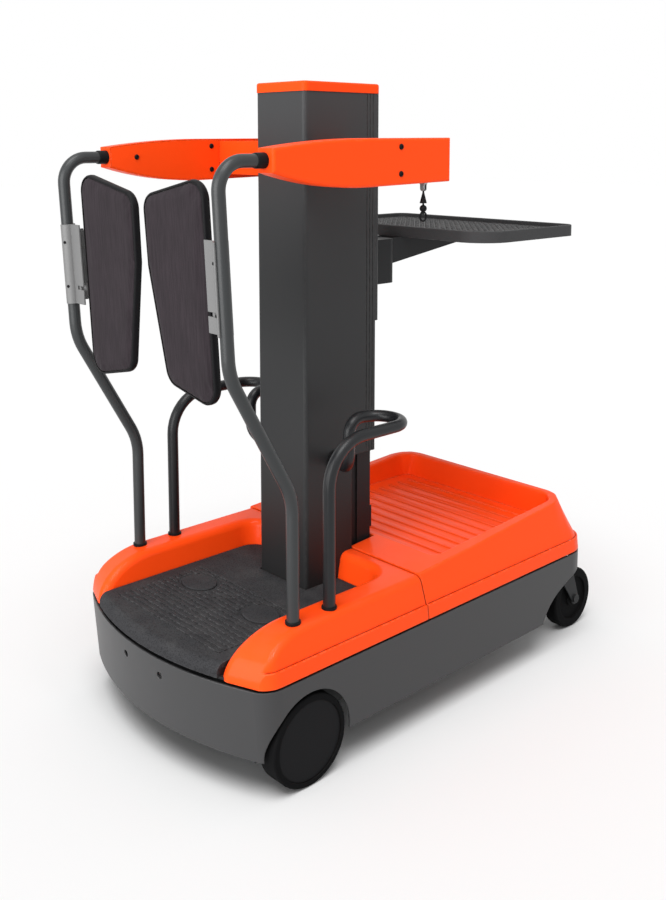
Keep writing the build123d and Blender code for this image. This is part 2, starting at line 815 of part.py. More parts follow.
# Lift chains: the rear runs go over the pulleys and down into the guards, the front runs to the carriage
with BuildPart() as rear_lift_chains:
    for side in (1, -1):
        with BuildSketch(Plane.XZ.offset(-side * chain_y)):
            with Locations((pulley_x, pulley_z)):
                Circle(pulley_pitch_radius + chain_thickness / 2)
                Circle(pulley_pitch_radius - chain_thickness / 2, mode=Mode.SUBTRACT)
            with Locations((pulley_x, pulley_z - 2 * pulley_pitch_radius)):
                Rectangle(6 * pulley_pitch_radius, 4 * pulley_pitch_radius, mode=Mode.SUBTRACT)
            low = guard_bottom + guard_wall + touch_gap
            with Locations((rear_chain_x, (low + pulley_z) / 2)):
                Rectangle(chain_thickness, pulley_z - low)
        extrude(amount=chain_width / 2, both=True)
save(rear_lift_chains, "rear_lift_chains")

with BuildPart() as front_lift_chains:
    for side in (1, -1):
        xs = (front_chain_x - chain_thickness / 2, front_chain_x + chain_thickness / 2)
        ys = (side * (chain_y - chain_width / 2), side * (chain_y + chain_width / 2))
        block(xs, ys, (chain_anchor_z, pulley_z))
save(front_lift_chains, "front_lift_chains")

# Carriage: shoes in the mid mast, side plates past the cylinder, chain lugs and a spine in the column
spine_x = column_front_x + column_wall
with BuildPart() as carriage_frame:
    for side in (1, -1):
        plate_ys = (side * carriage_plate_y, side * (carriage_plate_y - carriage_plate))
        block((spine_x, shoe_back_x), plate_ys, (pan_top, mid_bottom + shoe_height))
        shoe_ys = (side * carriage_plate_y, side * shoe_y)
        block((shoe_front_x, shoe_back_x), shoe_ys, (mid_bottom, mid_bottom + shoe_height))
        lug_xs = (front_chain_x - chain_thickness, front_chain_x + chain_thickness)
        lug_ys = (side * carriage_plate_y, side * (chain_y + chain_width / 2 + lug_margin))
        block(lug_xs, lug_ys, (chain_anchor_z - chain_anchor_height, chain_anchor_z))
    spine_half = column_half_width - 2 * column_wall
    block((spine_x, spine_x + spine), (-spine_half, spine_half), (pan_top, column_top - 4 * column_wall))
save(carriage_frame, "carriage_frame")

# Column cover: a folded steel cover round the mast, open to the deck side and cut short over the deck
column_length = mast_back_x - column_front_x
column_mid_x = (mast_back_x + column_front_x) / 2
column_inner_y = column_half_width - column_wall
with BuildPart() as column_cover:
    with BuildSketch(Plane.XY.offset(pan_top)):
        with Locations((column_mid_x, 0)):
            Rectangle(column_length, 2 * column_half_width)
        fillet(vertices().group_by(Axis.X)[0], column_corner_radius)
        with Locations((column_mid_x, 0)):
            Rectangle(column_length - 2 * column_wall, 2 * column_inner_y, mode=Mode.SUBTRACT)
        with Locations((mast_back_x, 0)):
            Rectangle(4 * column_wall, 2 * (column_inner_y - column_lip), mode=Mode.SUBTRACT)
    extrude(amount=column_top - pan_top)
    block((seam_x, far), (-far, far), (0, column_skirt_z), Mode.SUBTRACT)
    for side in (1, -1):
        for step in range(column_groove_count):
            x = mast_back_x - column_groove_pitch * (step + 1)
            ys = (side * (column_half_width - column_groove), side * far)
            block((x - column_groove, x + column_groove), ys, (0, far), Mode.SUBTRACT)
save(column_cover, "column_cover")

# Column back: closes the upper deck side behind the mast ties and carries the T rail of the load tray
back_face_x = back_x + back_wall
rail_head_x = back_face_x + rail_stem
rail_end = rail_head_x + rail_head
with BuildPart() as column_back:
    with BuildSketch(Plane.XY.offset(back_bottom)):
        with Locations(((mast_back_x + back_face_x) / 2, 0)):
            Rectangle(back_face_x - mast_back_x, 2 * column_half_width)
        fillet(vertices().group_by(Axis.X)[-1], 2 * back_wall)
        with Locations(((mast_back_x + back_x) / 2, 0)):
            Rectangle(back_x - mast_back_x, 2 * (column_half_width - back_wall), mode=Mode.SUBTRACT)
    extrude(amount=column_top - back_bottom)
    rail_zs = (back_bottom + 5 * back_wall, column_top - 5 * back_wall)
    block((back_face_x, rail_head_x), (-rail_stem_half, rail_stem_half), rail_zs)
    block((rail_head_x, rail_end), (-rail_head_half, rail_head_half), rail_zs)
save(column_back, "column_back")

# Column cap: an orange moulded lid over the column
cap_length = back_face_x - column_front_x + 2 * cap_overhang
cap_x = (back_face_x + column_front_x) / 2
with BuildPart() as column_cap:
    cap_width = 2 * (column_half_width + cap_overhang)
    with BuildSketch(Plane.XY.offset(column_top)):
        with Locations((cap_x, 0)):
            RectangleRounded(cap_length, cap_width, column_corner_radius + cap_overhang)
    extrude(amount=cap_height)
    fillet(faces().sort_by(Axis.Z)[-1].edges(), cap_crown)
    inside = 2 * (cap_overhang + column_wall)
    block(
        (cap_x - cap_length / 2 + inside, cap_x + cap_length / 2 - inside),
        (-column_half_width + inside, column_half_width - inside),
        (column_top, column_top + cap_height - column_wall),
        Mode.SUBTRACT,
    )
save(column_cap, "column_cap")


def bent_tube(points, radii):
    """A bent round tube along straight runs joined by tangent bends, in the current part."""
    with BuildLine() as route:
        FilletPolyline(*points, radius=radii)
    with BuildSketch(Plane(route.line @ 0, z_dir=route.line % 0)) as ring:
        Circle(tube_radius)
        Circle(tube_radius - tube_wall, mode=Mode.SUBTRACT)
    sweep(ring.sketch, path=route.line)


# Guard tubes and hand rails
for side_name, side in sides:
    y = side * tube_y
    with BuildPart() as guard_tube:
        bent_tube(
            [
                (guard_foot_x, y, flange_top),
                (guard_foot_x, y, guard_knee_z),
                (guard_elbow_x, y, guard_elbow_z),
                (guard_top_x, y, arm_z),
                (arm_front_x + tube_seat, y, arm_z),
            ],
            (knee_radius, knee_radius, top_bend_radius),
        )
    save(guard_tube, f"{side_name}_guard_tube")
    with BuildPart() as hand_rail:
        bent_tube(
            [
                (rail_x, y, flange_top),
                (rail_x, y, rail_z),
                (rail_end_x, y, rail_z),
                (rail_end_x, side * (column_half_width + rail_flange), rail_z),
            ],
            (rail_bend_radius, rail_corner_radius),
        )
    save(hand_rail, f"{side_name}_hand_rail")

# Collars at the feet of the tubes and flanges where the hand rails meet the column
with BuildPart() as tube_collars:
    for side in (1, -1):
        for x in (guard_foot_x, rail_x):
            foot = (x, side * tube_y, fender_top + collar_height / 2)
            rod_along("Z", foot, collar_radius, collar_height)
            rod_along("Z", foot, tube_radius + touch_gap, 2 * collar_height, Mode.SUBTRACT)
        wall = (rail_end_x, side * (column_half_width + rail_flange / 2), rail_z)
        rod_along("Y", wall, rail_flange_radius, rail_flange)
save(tube_collars, "tube_collars")


def arm_profile(inset=0.0):
    """Side view of an arm in the current sketch: narrow at the tube, deep over the console."""
    front_top, front_low = (arm_front_x, arm_z + arm_front_half), (arm_front_x, arm_z - arm_front_half)
    bulge_top, bulge_low = (arm_bulge_x, arm_z + arm_bulge_top), (arm_bulge_x, arm_z - arm_bulge_bottom)
    back_top, back_low = (arm_back_x, arm_z + arm_back_top), (arm_back_x, arm_z - arm_back_bottom)
    with BuildLine() as edge:
        TangentArc(bulge_top, front_top, tangent=Vector(bulge_top) - Vector(back_top))
        Polyline(bulge_top, back_top, back_low, bulge_low)
        TangentArc(bulge_low, front_low, tangent=Vector(bulge_low) - Vector(back_low))
        Line(front_low, front_top)
    make_face(edge.edges())
    if inset:
        offset(amount=-inset, kind=Kind.INTERSECTION)


# Arms: tapered orange covers, open to the inside and closed there by plates
arm_outer_y = arm_inner_y + arm_depth
outer_bolts = [(bolt_x, arm_z - bolt_drop + way * bolt_pitch / 2) for way in (1, -1)]
inner_bolts = [(x - bolt_inner_shift, z) for x, z in outer_bolts] + [(arm_front_x + 2 * tube_seat, arm_z)]
underside_share = (hook_x - arm_bulge_x) / (arm_back_x - arm_bulge_x)
hook_base_z = arm_z - arm_bulge_bottom + underside_share * (arm_bulge_bottom - arm_back_bottom)
for side_name, side in sides:
    with BuildPart() as arm:
        with BuildSketch(Plane.XZ.offset(-side * arm_inner_y)):
            arm_profile()
        extrude(amount=-side * arm_depth)
        fillet(faces().sort_by(Axis.Y)[-1 if side > 0 else 0].edges(), arm_edge_radius)
        with BuildSketch(Plane.XZ.offset(-side * arm_inner_y)):
            arm_profile(arm_wall)
        extrude(amount=-side * (arm_depth - arm_wall), mode=Mode.SUBTRACT)
        seat = (arm_front_x, side * tube_y, arm_z)
        rod_along("X", seat, tube_radius + touch_gap, bolt_length, Mode.SUBTRACT)
        for x, z in outer_bolts:
            rod_along("Y", (x, side * arm_outer_y, z), bolt_radius + running_gap, bolt_length, Mode.SUBTRACT)
        if side * hook_y > 0:
            stud = (hook_x, hook_y, hook_base_z)
            rod_along("Z", stud, hook_stud_radius + running_gap, bolt_length, Mode.SUBTRACT)
    save(arm, f"{side_name}_arm")

with BuildPart() as arm_plates:
    for side in (1, -1):
        with BuildSketch(Plane.XZ.offset(-side * arm_inner_y)):
            arm_profile(arm_wall + touch_gap)
        extrude(amount=-side * arm_wall)
        for x, z in inner_bolts:
            rod_along("Y", (x, side * arm_inner_y, z), bolt_radius + running_gap, bolt_length, Mode.SUBTRACT)
save(arm_plates, "arm_plates")

with BuildPart() as arm_bolts:
    for side in (1, -1):
        for points, face, way in ((outer_bolts, arm_outer_y, 1), (inner_bolts, arm_inner_y, -1)):
            for x, z in points:
                head_y = side * (face + way * bolt_head / 2)
                shank_y = side * (face - way * bolt_length / 2)
                rod_along("Y", (x, head_y, z), bolt_head_radius, bolt_head)
                rod_along("Y", (x, shank_y, z), bolt_radius, bolt_length)
save(arm_bolts, "arm_bolts")

# Consoles: orange box beams from the column to the arms
with BuildPart() as arm_consoles:
    for side in (1, -1):
        ys = (side * column_half_width, side * arm_inner_y)
        block((console_front_x, console_back_x), ys, (console_bottom, console_top))
        block(
            (console_front_x + arm_wall, console_back_x - arm_wall),
            ys,
            (console_bottom + arm_wall, console_top - arm_wall),
            Mode.SUBTRACT,
        )
save(arm_consoles, "arm_consoles")


# The gates lean with the guard tubes: their frame lies across the machine and along the hinge lines
tube_lean = (guard_elbow_x - guard_top_x) / (arm_z - guard_elbow_z)
lean = atan(tube_lean)
hinge_mid_z = hinge_bottom + hinge_knuckle + hinge_middle / 2
gate_frame = Plane((gate_x, 0, hinge_mid_z), x_dir=(0, 1, 0), z_dir=(cos(lean), 0, sin(lean)))


def gate_block(ys, heights, depths, mode=Mode.ADD):
    """A box in the frame of the gates: across the machine, along the hinge lines and through the gates."""
    middle = tuple(sum(pair) / 2 for pair in (ys, heights, depths))
    with Locations(gate_frame.location * Location(middle)):
        Box(abs(ys[1] - ys[0]), abs(heights[1] - heights[0]), abs(depths[1] - depths[0]), mode=mode)


def gate_rod(y, height, depth, radius, length, mode=Mode.ADD):
    """A round bar along the hinge lines about a point in the frame of the gates."""
    with Locations(gate_frame.location * Location((y, height, depth), (90, 0, 0))):
        Cylinder(radius, length, mode=mode)


def gate_outline(side, inset=0.0):
    """A gate seen from the front in the current sketch: slanted top, free edge bent back to the bottom."""
    corners = (gate_free_top, gate_hinge_top, gate_hinge_bottom, gate_free_bottom, gate_free_bend)
    with BuildLine() as edge:
        Polyline(*[(side * y, arm_z + z - hinge_mid_z) for y, z in corners], close=True)
    make_face(edge.edges())
    bend = vertices().sort_by_distance((side * gate_free_bend[0], arm_z + gate_free_bend[1] - hinge_mid_z))[0]
    fillet(vertices() - [bend], gate_corner_radius)
    fillet(bend, gate_bend_radius)
    if inset:
        offset(amount=-inset)


# Gates: a steel plate with the middle hinge knuckle, and soft pads on both of its faces
hinge_length = 2 * hinge_knuckle + hinge_middle
knuckle = hinge_middle - 2 * hinge_gap
for side_name, side in sides:
    axis_y = side * gate_hinge_y
    with BuildPart() as gate:
        with BuildSketch(gate_frame.offset(-gate_plate / 2)):
            gate_outline(side)
        extrude(amount=gate_plate)
        web_ys = (axis_y, side * (gate_hinge_top[0] - gate_pad_inset))
        gate_block(web_ys, (-knuckle / 2, knuckle / 2), (-gate_plate / 2, gate_plate / 2))
        gate_rod(axis_y, 0, 0, hinge_barrel_radius, knuckle)
        gate_rod(axis_y, 0, 0, hinge_pin_radius + running_gap, hinge_length, Mode.SUBTRACT)
    save(gate, f"{side_name}_gate_plate")
    with BuildPart() as pad:
        for way in (1, -1):
            with BuildSketch(gate_frame.offset(way * gate_plate / 2)):
                gate_outline(side, gate_pad_inset)
            extrude(amount=way * gate_pad)
        skins = faces().sort_by(Axis(gate_frame.origin, gate_frame.z_dir))
        fillet(skins[0].edges() + skins[-1].edges(), gate_pad / 2)
    save(pad, f"{side_name}_gate_pad")

# Gate brackets: saddles on the inner halves of the guard tubes, with a hinge leaf, two knuckles and a pin
bracket_x = guard_elbow_x - tube_lean * (hinge_mid_z - guard_elbow_z)
leaf_depth = (bracket_x - gate_x) * cos(lean)
leaf_depths = (leaf_depth - bracket_plate / 2, leaf_depth + bracket_plate / 2)
leaf_heights = (-bracket_height / 2, bracket_height / 2)
slot_heights = (-leaf_slot_drop - leaf_slot / 2, -leaf_slot_drop + leaf_slot / 2)
tube_room = tube_radius + touch_gap
with BuildPart() as gate_brackets:
    for side in (1, -1):
        axis_y = side * gate_hinge_y
        leaf_ys = (side * (gate_hinge_bottom[0] + leaf_edge_gap), side * (tube_y - tube_radius))
        gate_rod(side * tube_y, 0, leaf_depth, tube_room + bracket_plate, bracket_height)
        gate_block(leaf_ys, leaf_heights, leaf_depths)
        slot_ys = (leaf_ys[0], axis_y + side * hinge_barrel_radius)
        gate_block(slot_ys, slot_heights, leaf_depths, Mode.SUBTRACT)
        gate_rod(side * tube_y, 0, leaf_depth, tube_room, bracket_height, Mode.SUBTRACT)
        gate_block((side * tube_y, side * far), (-far, far), (-far, far), Mode.SUBTRACT)
        for way in (1, -1):
            height = way * (hinge_middle + hinge_knuckle) / 2
            web_ys = (axis_y - bracket_plate, axis_y + bracket_plate)
            web_heights = (height - hinge_knuckle / 2, height + hinge_knuckle / 2)
            gate_block(web_ys, web_heights, (leaf_depth, 0))
            gate_rod(axis_y, height, 0, hinge_barrel_radius, hinge_knuckle)
        gate_rod(axis_y, 0, 0, hinge_pin_radius, hinge_length + 2 * bracket_plate)
save(gate_brackets, "gate_brackets")

# Tray bracket: a sleeve on the T rail with two gussets under the tray and a bore for the clamp knob
sleeve_front_x = back_face_x + sleeve_gap
with BuildPart() as tray_bracket:
    sleeve_zs = (sleeve_bottom, tray_bottom)
    block((sleeve_front_x, sleeve_back_x), (-sleeve_half_width, sleeve_half_width), sleeve_zs)
    fillet(edges().filter_by(Axis.Z).group_by(Axis.X)[-1], sleeve_corner_radius)
    stem_half, head_half = rail_stem_half + rail_gap, rail_head_half + rail_gap
    cut_zs = (sleeve_bottom - past, tray_bottom + past)
    block((sleeve_front_x, rail_head_x), (-stem_half, stem_half), cut_zs, Mode.SUBTRACT)
    block((rail_head_x - rail_gap, rail_end + rail_gap), (-head_half, head_half), cut_zs, Mode.SUBTRACT)
    pocket_half = sleeve_half_width - 2 * pocket_wall
    pocket_xs = (rail_end + 2 * pocket_wall, sleeve_back_x - pocket_wall)
    block(pocket_xs, (-pocket_half, pocket_half), (sleeve_bottom, tray_bottom - pocket_wall), Mode.SUBTRACT)
    for side in (1, -1):
        with BuildSketch(Plane.XZ.offset(-side * gusset_y)):
            with BuildLine():
                Polyline(
                    (sleeve_back_x - sleeve_corner_radius, tray_bottom),
                    (gusset_reach, tray_bottom),
                    (gusset_reach, tray_bottom - gusset_tip),
                    (sleeve_back_x, tray_bottom - gusset_drop),
                    (sleeve_back_x - sleeve_corner_radius, tray_bottom - gusset_drop),
                    close=True,
                )
            make_face()
        extrude(amount=side * gusset_plate)
    knob_x = (rail_head_x + rail_end) / 2
    bore_y = (sleeve_half_width + rail_head_half) / 2
    bore = (knob_x, bore_y, knob_z)
    rod_along("Y", bore, knob_shaft_radius + running_gap, sleeve_half_width, Mode.SUBTRACT)
save(tray_bracket, "tray_bracket")

# Clamp knob: a fluted hand knob whose screw bears on the rail
with BuildPart() as tray_clamp_knob:
    shaft_end = rail_head_half + 2 * rail_gap
    knob_y = sleeve_half_width + panel_gap
    shaft_length = knob_y - shaft_end
    rod_along("Y", (knob_x, knob_y + knob_length / 2, knob_z), knob_radius, knob_length)
    for step in range(knob_flutes):
        turn = radians(360 * step / knob_flutes)
        reach = knob_radius + flute_offset
        flute = (knob_x + reach * cos(turn), knob_y, knob_z + reach * sin(turn))
        rod_along("Y", flute, flute_radius, 4 * knob_length, Mode.SUBTRACT)
    rod_along("Y", (knob_x, shaft_end + shaft_length / 2, knob_z), knob_shaft_radius, shaft_length)
save(tray_clamp_knob, "tray_clamp_knob")


def tray_outline(inset=0.0):
    """Plan of the load tray in the current sketch: large corners to the mast, small ones to the deck end."""
    with Locations(((tray_front_x + tray_back_x) / 2, 0)):
        Rectangle(tray_back_x - tray_front_x, 2 * tray_half_width)
    fillet(vertices().group_by(Axis.X)[0], tray_front_radius)
    fillet(vertices().group_by(Axis.X)[-1], tray_back_radius)
    if inset:
        offset(amount=-inset)


# Load tray: a moulded tray with a sunk floor, hollow below on both sides of the bracket
with BuildPart() as load_tray:
    with BuildSketch(Plane.XY.offset(tray_bottom)):
        tray_outline()
    extrude(amount=tray_height)
    with BuildSketch(Plane.XY.offset(tray_bottom + tray_height - tray_lip)):
        tray_outline(tray_wall)
    extrude(amount=tray_lip, mode=Mode.SUBTRACT)
    fillet(faces().sort_by(Axis.Z)[-1].edges(), tray_rim)
    hollow = tray_height - tray_lip - tray_floor
    with BuildSketch(Plane.XY.offset(tray_bottom)):
        tray_outline(tray_wall)
        with Locations(((tray_front_x + tray_back_x) / 2, 0)):
            Rectangle(2 * tray_half_width, 2 * sleeve_half_width, mode=Mode.SUBTRACT)
    extrude(amount=hollow, mode=Mode.SUBTRACT)
save(load_tray, "load_tray")

# Lanyard hook: clevis screwed under the near arm, and a snap hook that swings on its pin
hook_top_z = hook_base_z - touch_gap
hook_pin_z = hook_top_z - hook_clevis_drop
with BuildPart() as hook_clevis:
    half = hook_eye_width / 2 + touch_gap + hook_cheek
    plate_zs = (hook_top_z - hook_clevis_plate, hook_top_z)
    plate_ys = (hook_y - hook_clevis_width / 2, hook_y + hook_clevis_width / 2)
    block((hook_x - half, hook_x + half), plate_ys, plate_zs)
    stud_z = hook_top_z + hook_clevis_plate / 2
    rod_along("Z", (hook_x, hook_y, stud_z), hook_stud_radius, 3 * hook_clevis_plate)
    for way in (1, -1):
        cheek_x = hook_x + way * (half - hook_cheek / 2)
        cheek_ys = (hook_y - hook_eye_radius, hook_y + hook_eye_radius)
        block((cheek_x - hook_cheek / 2, cheek_x + hook_cheek / 2), cheek_ys, (hook_pin_z, hook_top_z))
        rod_along("X", (cheek_x, hook_y, hook_pin_z), hook_eye_radius, hook_cheek)
    rod_along("X", (hook_x, hook_y, hook_pin_z), hook_pin_radius, 2 * half)
save(hook_clevis, "hook_clevis")

with BuildPart() as lanyard_hook:
    cone_top = hook_pin_z - hook_eye_radius - hook_neck
    ball_z = cone_top - hook_cone - hook_neck - hook_ball_radius
    link_z = ball_z - hook_ball_radius - hook_link_radius
    eye = (hook_x, hook_y, hook_pin_z)
    rod_along("X", eye, hook_eye_radius, hook_eye_width)
    neck_length = hook_pin_z - link_z - hook_link_radius
    rod_along("Z", (hook_x, hook_y, (hook_pin_z + link_z) / 2), hook_neck_radius, neck_length)
    rod_along("X", eye, hook_pin_radius + running_gap, 2 * hook_eye_width, Mode.SUBTRACT)
    with Locations((hook_x, hook_y, cone_top - hook_cone / 2)):
        Cone(hook_cone_radius, hook_neck_radius, hook_cone)
    with Locations((hook_x, hook_y, ball_z)):
        Sphere(hook_ball_radius)
    with Locations(Location((hook_x, hook_y, link_z), (90, 0, 0))):
        Torus(hook_link_radius, hook_wire_radius)
save(lanyard_hook, "lanyard_hook")

# Drive motors: bodies bolted inside the frame plates, with the shafts that carry the wheels
shaft_end_y = drive_face_y - drive_axle_radius
with BuildPart() as drive_motors:
    for side in (1, -1):
        inner_y = frame_half_width - plate
        body_y = side * (inner_y - motor_length / 2)
        rod_along("Y", (drive_x, body_y, drive_radius), motor_radius, motor_length)
        flange_y = side * (inner_y - motor_flange / 2)
        rod_along("Y", (drive_x, flange_y, drive_radius), motor_radius + motor_flange, motor_flange)
        shaft_y = side * (inner_y + shaft_end_y) / 2
        rod_along("Y", (drive_x, shaft_y, drive_radius), drive_axle_radius, shaft_end_y - inner_y)
        for step in range(motor_fin_count):
            fin_y = body_y + (step - (motor_fin_count - 1) / 2) * motor_fin_pitch
            rod_along("Y", (drive_x, fin_y, drive_radius), motor_radius + motor_fin, motor_fin)
save(drive_motors, "drive_motors")

# Drive wheels: solid tyres on disc hubs
for side_name, side in sides:
    tyre_y = side * (drive_face_y - drive_width / 2)
    with BuildPart() as tyre:
        rod_along("Y", (drive_x, tyre_y, drive_radius), drive_radius, drive_width)
        fillet(edges(), tyre_shoulder)
        rod_along("Y", (drive_x, tyre_y, drive_radius), drive_hub_radius, drive_width, Mode.SUBTRACT)
    save(tyre, f"{side_name}_drive_tyre")
    with BuildPart() as hub:
        hub_width = drive_width - 2 * hub_sink
        rod_along("Y", (drive_x, tyre_y, drive_radius), drive_hub_radius - touch_gap, hub_width)
        bore = (drive_x, side * (shaft_end_y + touch_gap - drive_width / 2), drive_radius)
        rod_along("Y", bore, drive_axle_radius + running_gap, drive_width, Mode.SUBTRACT)
    save(hub, f"{side_name}_drive_hub")

# Casters: a swivel fork with its race and stem, and a wheel that trails behind the stem
axle_x = caster_x + caster_trail
leg_y = caster_width / 2 + fork_side_gap
crown_half = caster_race_radius
for side_name, side in sides:
    with BuildPart() as fork:
        y = side * caster_y
        half = leg_y + fork_leg
        block((caster_x - crown_half, caster_x + crown_half), (y - half, y + half), (crown_z, race_z))
        for way in (1, -1):
            with BuildSketch(Plane.XZ.offset(-y - way * leg_y)):
                Polygon(
                    (caster_x - crown_half, crown_z),
                    (axle_x - axle_boss_radius, caster_radius),
                    (axle_x + axle_boss_radius, caster_radius),
                    (caster_x + crown_half, race_z),
                    (caster_x - crown_half, race_z),
                    align=None,
                )
                with Locations((axle_x, caster_radius)):
                    Circle(axle_boss_radius)
            extrude(amount=-way * fork_leg)
        rod_along("Y", (axle_x, y, caster_radius), caster_axle_radius, 2 * half + 2 * nut_height)
        for way in (1, -1):
            nut_y = y + way * (half + nut_height / 2)
            rod_along("Y", (axle_x, nut_y, caster_radius), axle_nut_radius, nut_height)
        race = race_height - touch_gap
        rod_along("Z", (caster_x, y, race_z + race / 2), caster_race_radius, race)
        stem_top = caster_plate_z + caster_plate + touch_gap
        rod_along("Z", (caster_x, y, (race_z + stem_top) / 2), caster_stem_radius, stem_top - race_z)
        rod_along("Z", (caster_x, y, stem_top + nut_height), stem_nut_radius, 2 * nut_height)
    save(fork, f"{side_name}_caster_fork")
    with BuildPart() as caster_wheel:
        middle = (axle_x, y, caster_radius)
        rod_along("Y", middle, caster_radius, caster_width)
        fillet(edges(), tyre_shoulder)
        for way in (1, -1):
            dish = (axle_x, y + way * caster_width / 2, caster_radius)
            rod_along("Y", dish, caster_dish_radius, 2 * caster_dish, Mode.SUBTRACT)
        rod_along("Y", middle, caster_hub_radius, caster_width)
        rod_along("Y", middle, caster_axle_radius + running_gap, 2 * caster_width, Mode.SUBTRACT)
    save(caster_wheel, f"{side_name}_caster_wheel")

# Battery on the frame floor under the deck
with BuildPart() as battery:
    battery_top = floor_top + battery_height
    block(battery_xs, (-battery_half_width, battery_half_width), (floor_top, battery_top - 2 * lid_inset))
    fillet(edges().filter_by(Axis.Z), lid_inset)
    lid_xs = (battery_xs[0] + lid_inset, battery_xs[1] - lid_inset)
    lid_half = battery_half_width - lid_inset
    block(lid_xs, (-lid_half, lid_half), (battery_top - 2 * lid_inset, battery_top - lid_inset))
    for way in (1, -1):
        post = (battery_xs[0] + 4 * terminal_radius, way * lid_half / 2, battery_top - lid_inset / 2)
        rod_along("Z", post, terminal_radius, lid_inset)
save(battery, "battery")

# Hydraulic unit: tank with a pump motor and a valve block, under the platform
with BuildPart() as hydraulic_unit:
    tank_top = floor_top + tank_height
    block(power_xs, (-power_ys[0], -power_ys[1]), (floor_top, tank_top))
    fillet(edges().filter_by(Axis.Z), 2 * lid_inset)
    pump = (power_xs[0] + pump_radius + lid_inset, -sum(power_ys) / 2, tank_top + pump_height / 2)
    rod_along("Z", pump, pump_radius, pump_height)
    valve_xs = (power_xs[1] - valve_width - 2 * lid_inset, power_xs[1] - 2 * lid_inset)
    valve_ys = (-power_ys[1] + valve_width, -power_ys[0] - valve_width)
    block(valve_xs, valve_ys, (tank_top, tank_top + valve_height))
save(hydraulic_unit, "hydraulic_unit")

# Motor controller: a finned aluminium case beside the hydraulic unit
with BuildPart() as motor_controller:
    case_top = floor_top + case_height
    block(power_xs, power_ys, (floor_top, case_top))
    with BuildSketch(Plane.XY.offset(case_top)):
        with Locations((sum(power_xs) / 2, sum(power_ys) / 2)):
            with GridLocations(1, (power_ys[1] - power_ys[0]) / fin_count, 1, fin_count):
                Rectangle(power_xs[1] - power_xs[0] - 4 * fin_width, fin_width)
    extrude(amount=fin_height)
save(motor_controller, "motor_controller")

# Control pod on the near console, with bores and slots for its controls
pod_front_x = console_front_x - pod_depth
hinge_x = pod_front_x + slot_gap
with BuildPart() as control_pod:
    block((pod_front_x, console_front_x), (pod_y0, pod_y1), (pod_bottom, pod_top))
    fillet(faces().sort_by(Axis.X)[0].edges(), pod_radius)
    for y, z, radius in (
        (steer_y, steer_z, steer_stem_radius),
        (stop_y, stop_z, stop_stem_radius),
        (horn_y, horn_z, horn_radius),
        (key_y, key_z, key_radius),
    ):
        rod_along("X", (pod_front_x, y, z), radius + running_gap, 3 * control_stem, Mode.SUBTRACT)
    for y, z, half_width, half_height in (
        (lever_y, lever_z, lever_hub_width / 2, lever_slot_half),
        (rocker_y, rocker_z, rocker_width / 2, rocker_slot_half),
    ):
        slot_xs = (pod_front_x, hinge_x + 2 * slot_gap)
        slot_ys = (y - half_width - panel_gap, y + half_width + panel_gap)
        block(slot_xs, slot_ys, (z - half_height, z + half_height), Mode.SUBTRACT)
        rod_along("Y", (hinge_x, y, z), stub + running_gap, 2 * (half_width + slot_gap), Mode.SUBTRACT)
save(control_pod, "control_pod")

# Steering knob: a fluted cap on a short stem
with BuildPart() as steer_knob:
    cap_x = pod_front_x - panel_gap - steer_depth / 2
    rod_along("X", (cap_x, steer_y, steer_z), steer_radius, steer_depth)
    fillet(edges().sort_by(Axis.X)[0], 2 * stub)
    for step in range(knob_flutes):
        turn = radians(360 * step / knob_flutes)
        flute_y = steer_y + (steer_radius + stub) * cos(turn)
        flute_z = steer_z + (steer_radius + stub) * sin(turn)
        rod_along("X", (cap_x, flute_y, flute_z), flute_radius, 2 * steer_depth, Mode.SUBTRACT)
    rod_along("X", (pod_front_x, steer_y, steer_z), steer_stem_radius, control_stem)
save(steer_knob, "steer_knob")

# Emergency stop, a mushroom button, and the horn, a flush round button
with BuildPart() as estop_button:
    head = 2 * stop_travel
    head_x = pod_front_x - stop_travel - panel_gap - head / 2
    rod_along("X", (head_x, stop_y, stop_z), stop_radius, head)
    fillet(edges().sort_by(Axis.X)[0], head / 2)
    rod_along("X", (head_x + control_stem / 2, stop_y, stop_z), stop_stem_radius, control_stem)
save(estop_button, "estop_button")

with BuildPart() as horn_button:
    rod_along("X", (pod_front_x, horn_y, horn_z), horn_radius, 4 * horn_travel)
    fillet(edges().sort_by(Axis.X)[0], horn_travel / 2)
save(horn_button, "horn_button")

# Key switch: a barrel with the key in it
with BuildPart() as key_switch:
    rod_along("X", (pod_front_x, key_y, key_z), key_radius, control_stem)
    bow_x = pod_front_x - control_stem / 2
    bow_zs = (key_z - key_bow / 2, key_z + key_bow / 2)
    block((bow_x, bow_x - key_bow), (key_y - stub / 2, key_y + stub / 2), bow_zs)
    fillet(edges().filter_by(Axis.Y).group_by(Axis.X)[0], 2 * stub)
save(key_switch, "key_switch")

# Travel lever: a paddle on a hub that turns in the pod
with BuildPart() as travel_lever:
    rod_along("Y", (hinge_x, lever_y, lever_z), lever_hub_radius, lever_hub_width)
    rod_along("Y", (hinge_x, lever_y, lever_z), stub, lever_hub_width + slot_gap)
    paddle_xs = (hinge_x, pod_front_x - lever_reach)
    paddle_ys = (lever_y - lever_hub_width / 2, lever_y + lever_hub_width / 2)
    block(paddle_xs, paddle_ys, (lever_z - lever_paddle / 2, lever_z + lever_paddle / 2))
    fillet(edges().filter_by(Axis.Y).group_by(Axis.X)[0], lever_paddle / 2 - running_gap)
save(travel_lever, "travel_lever")

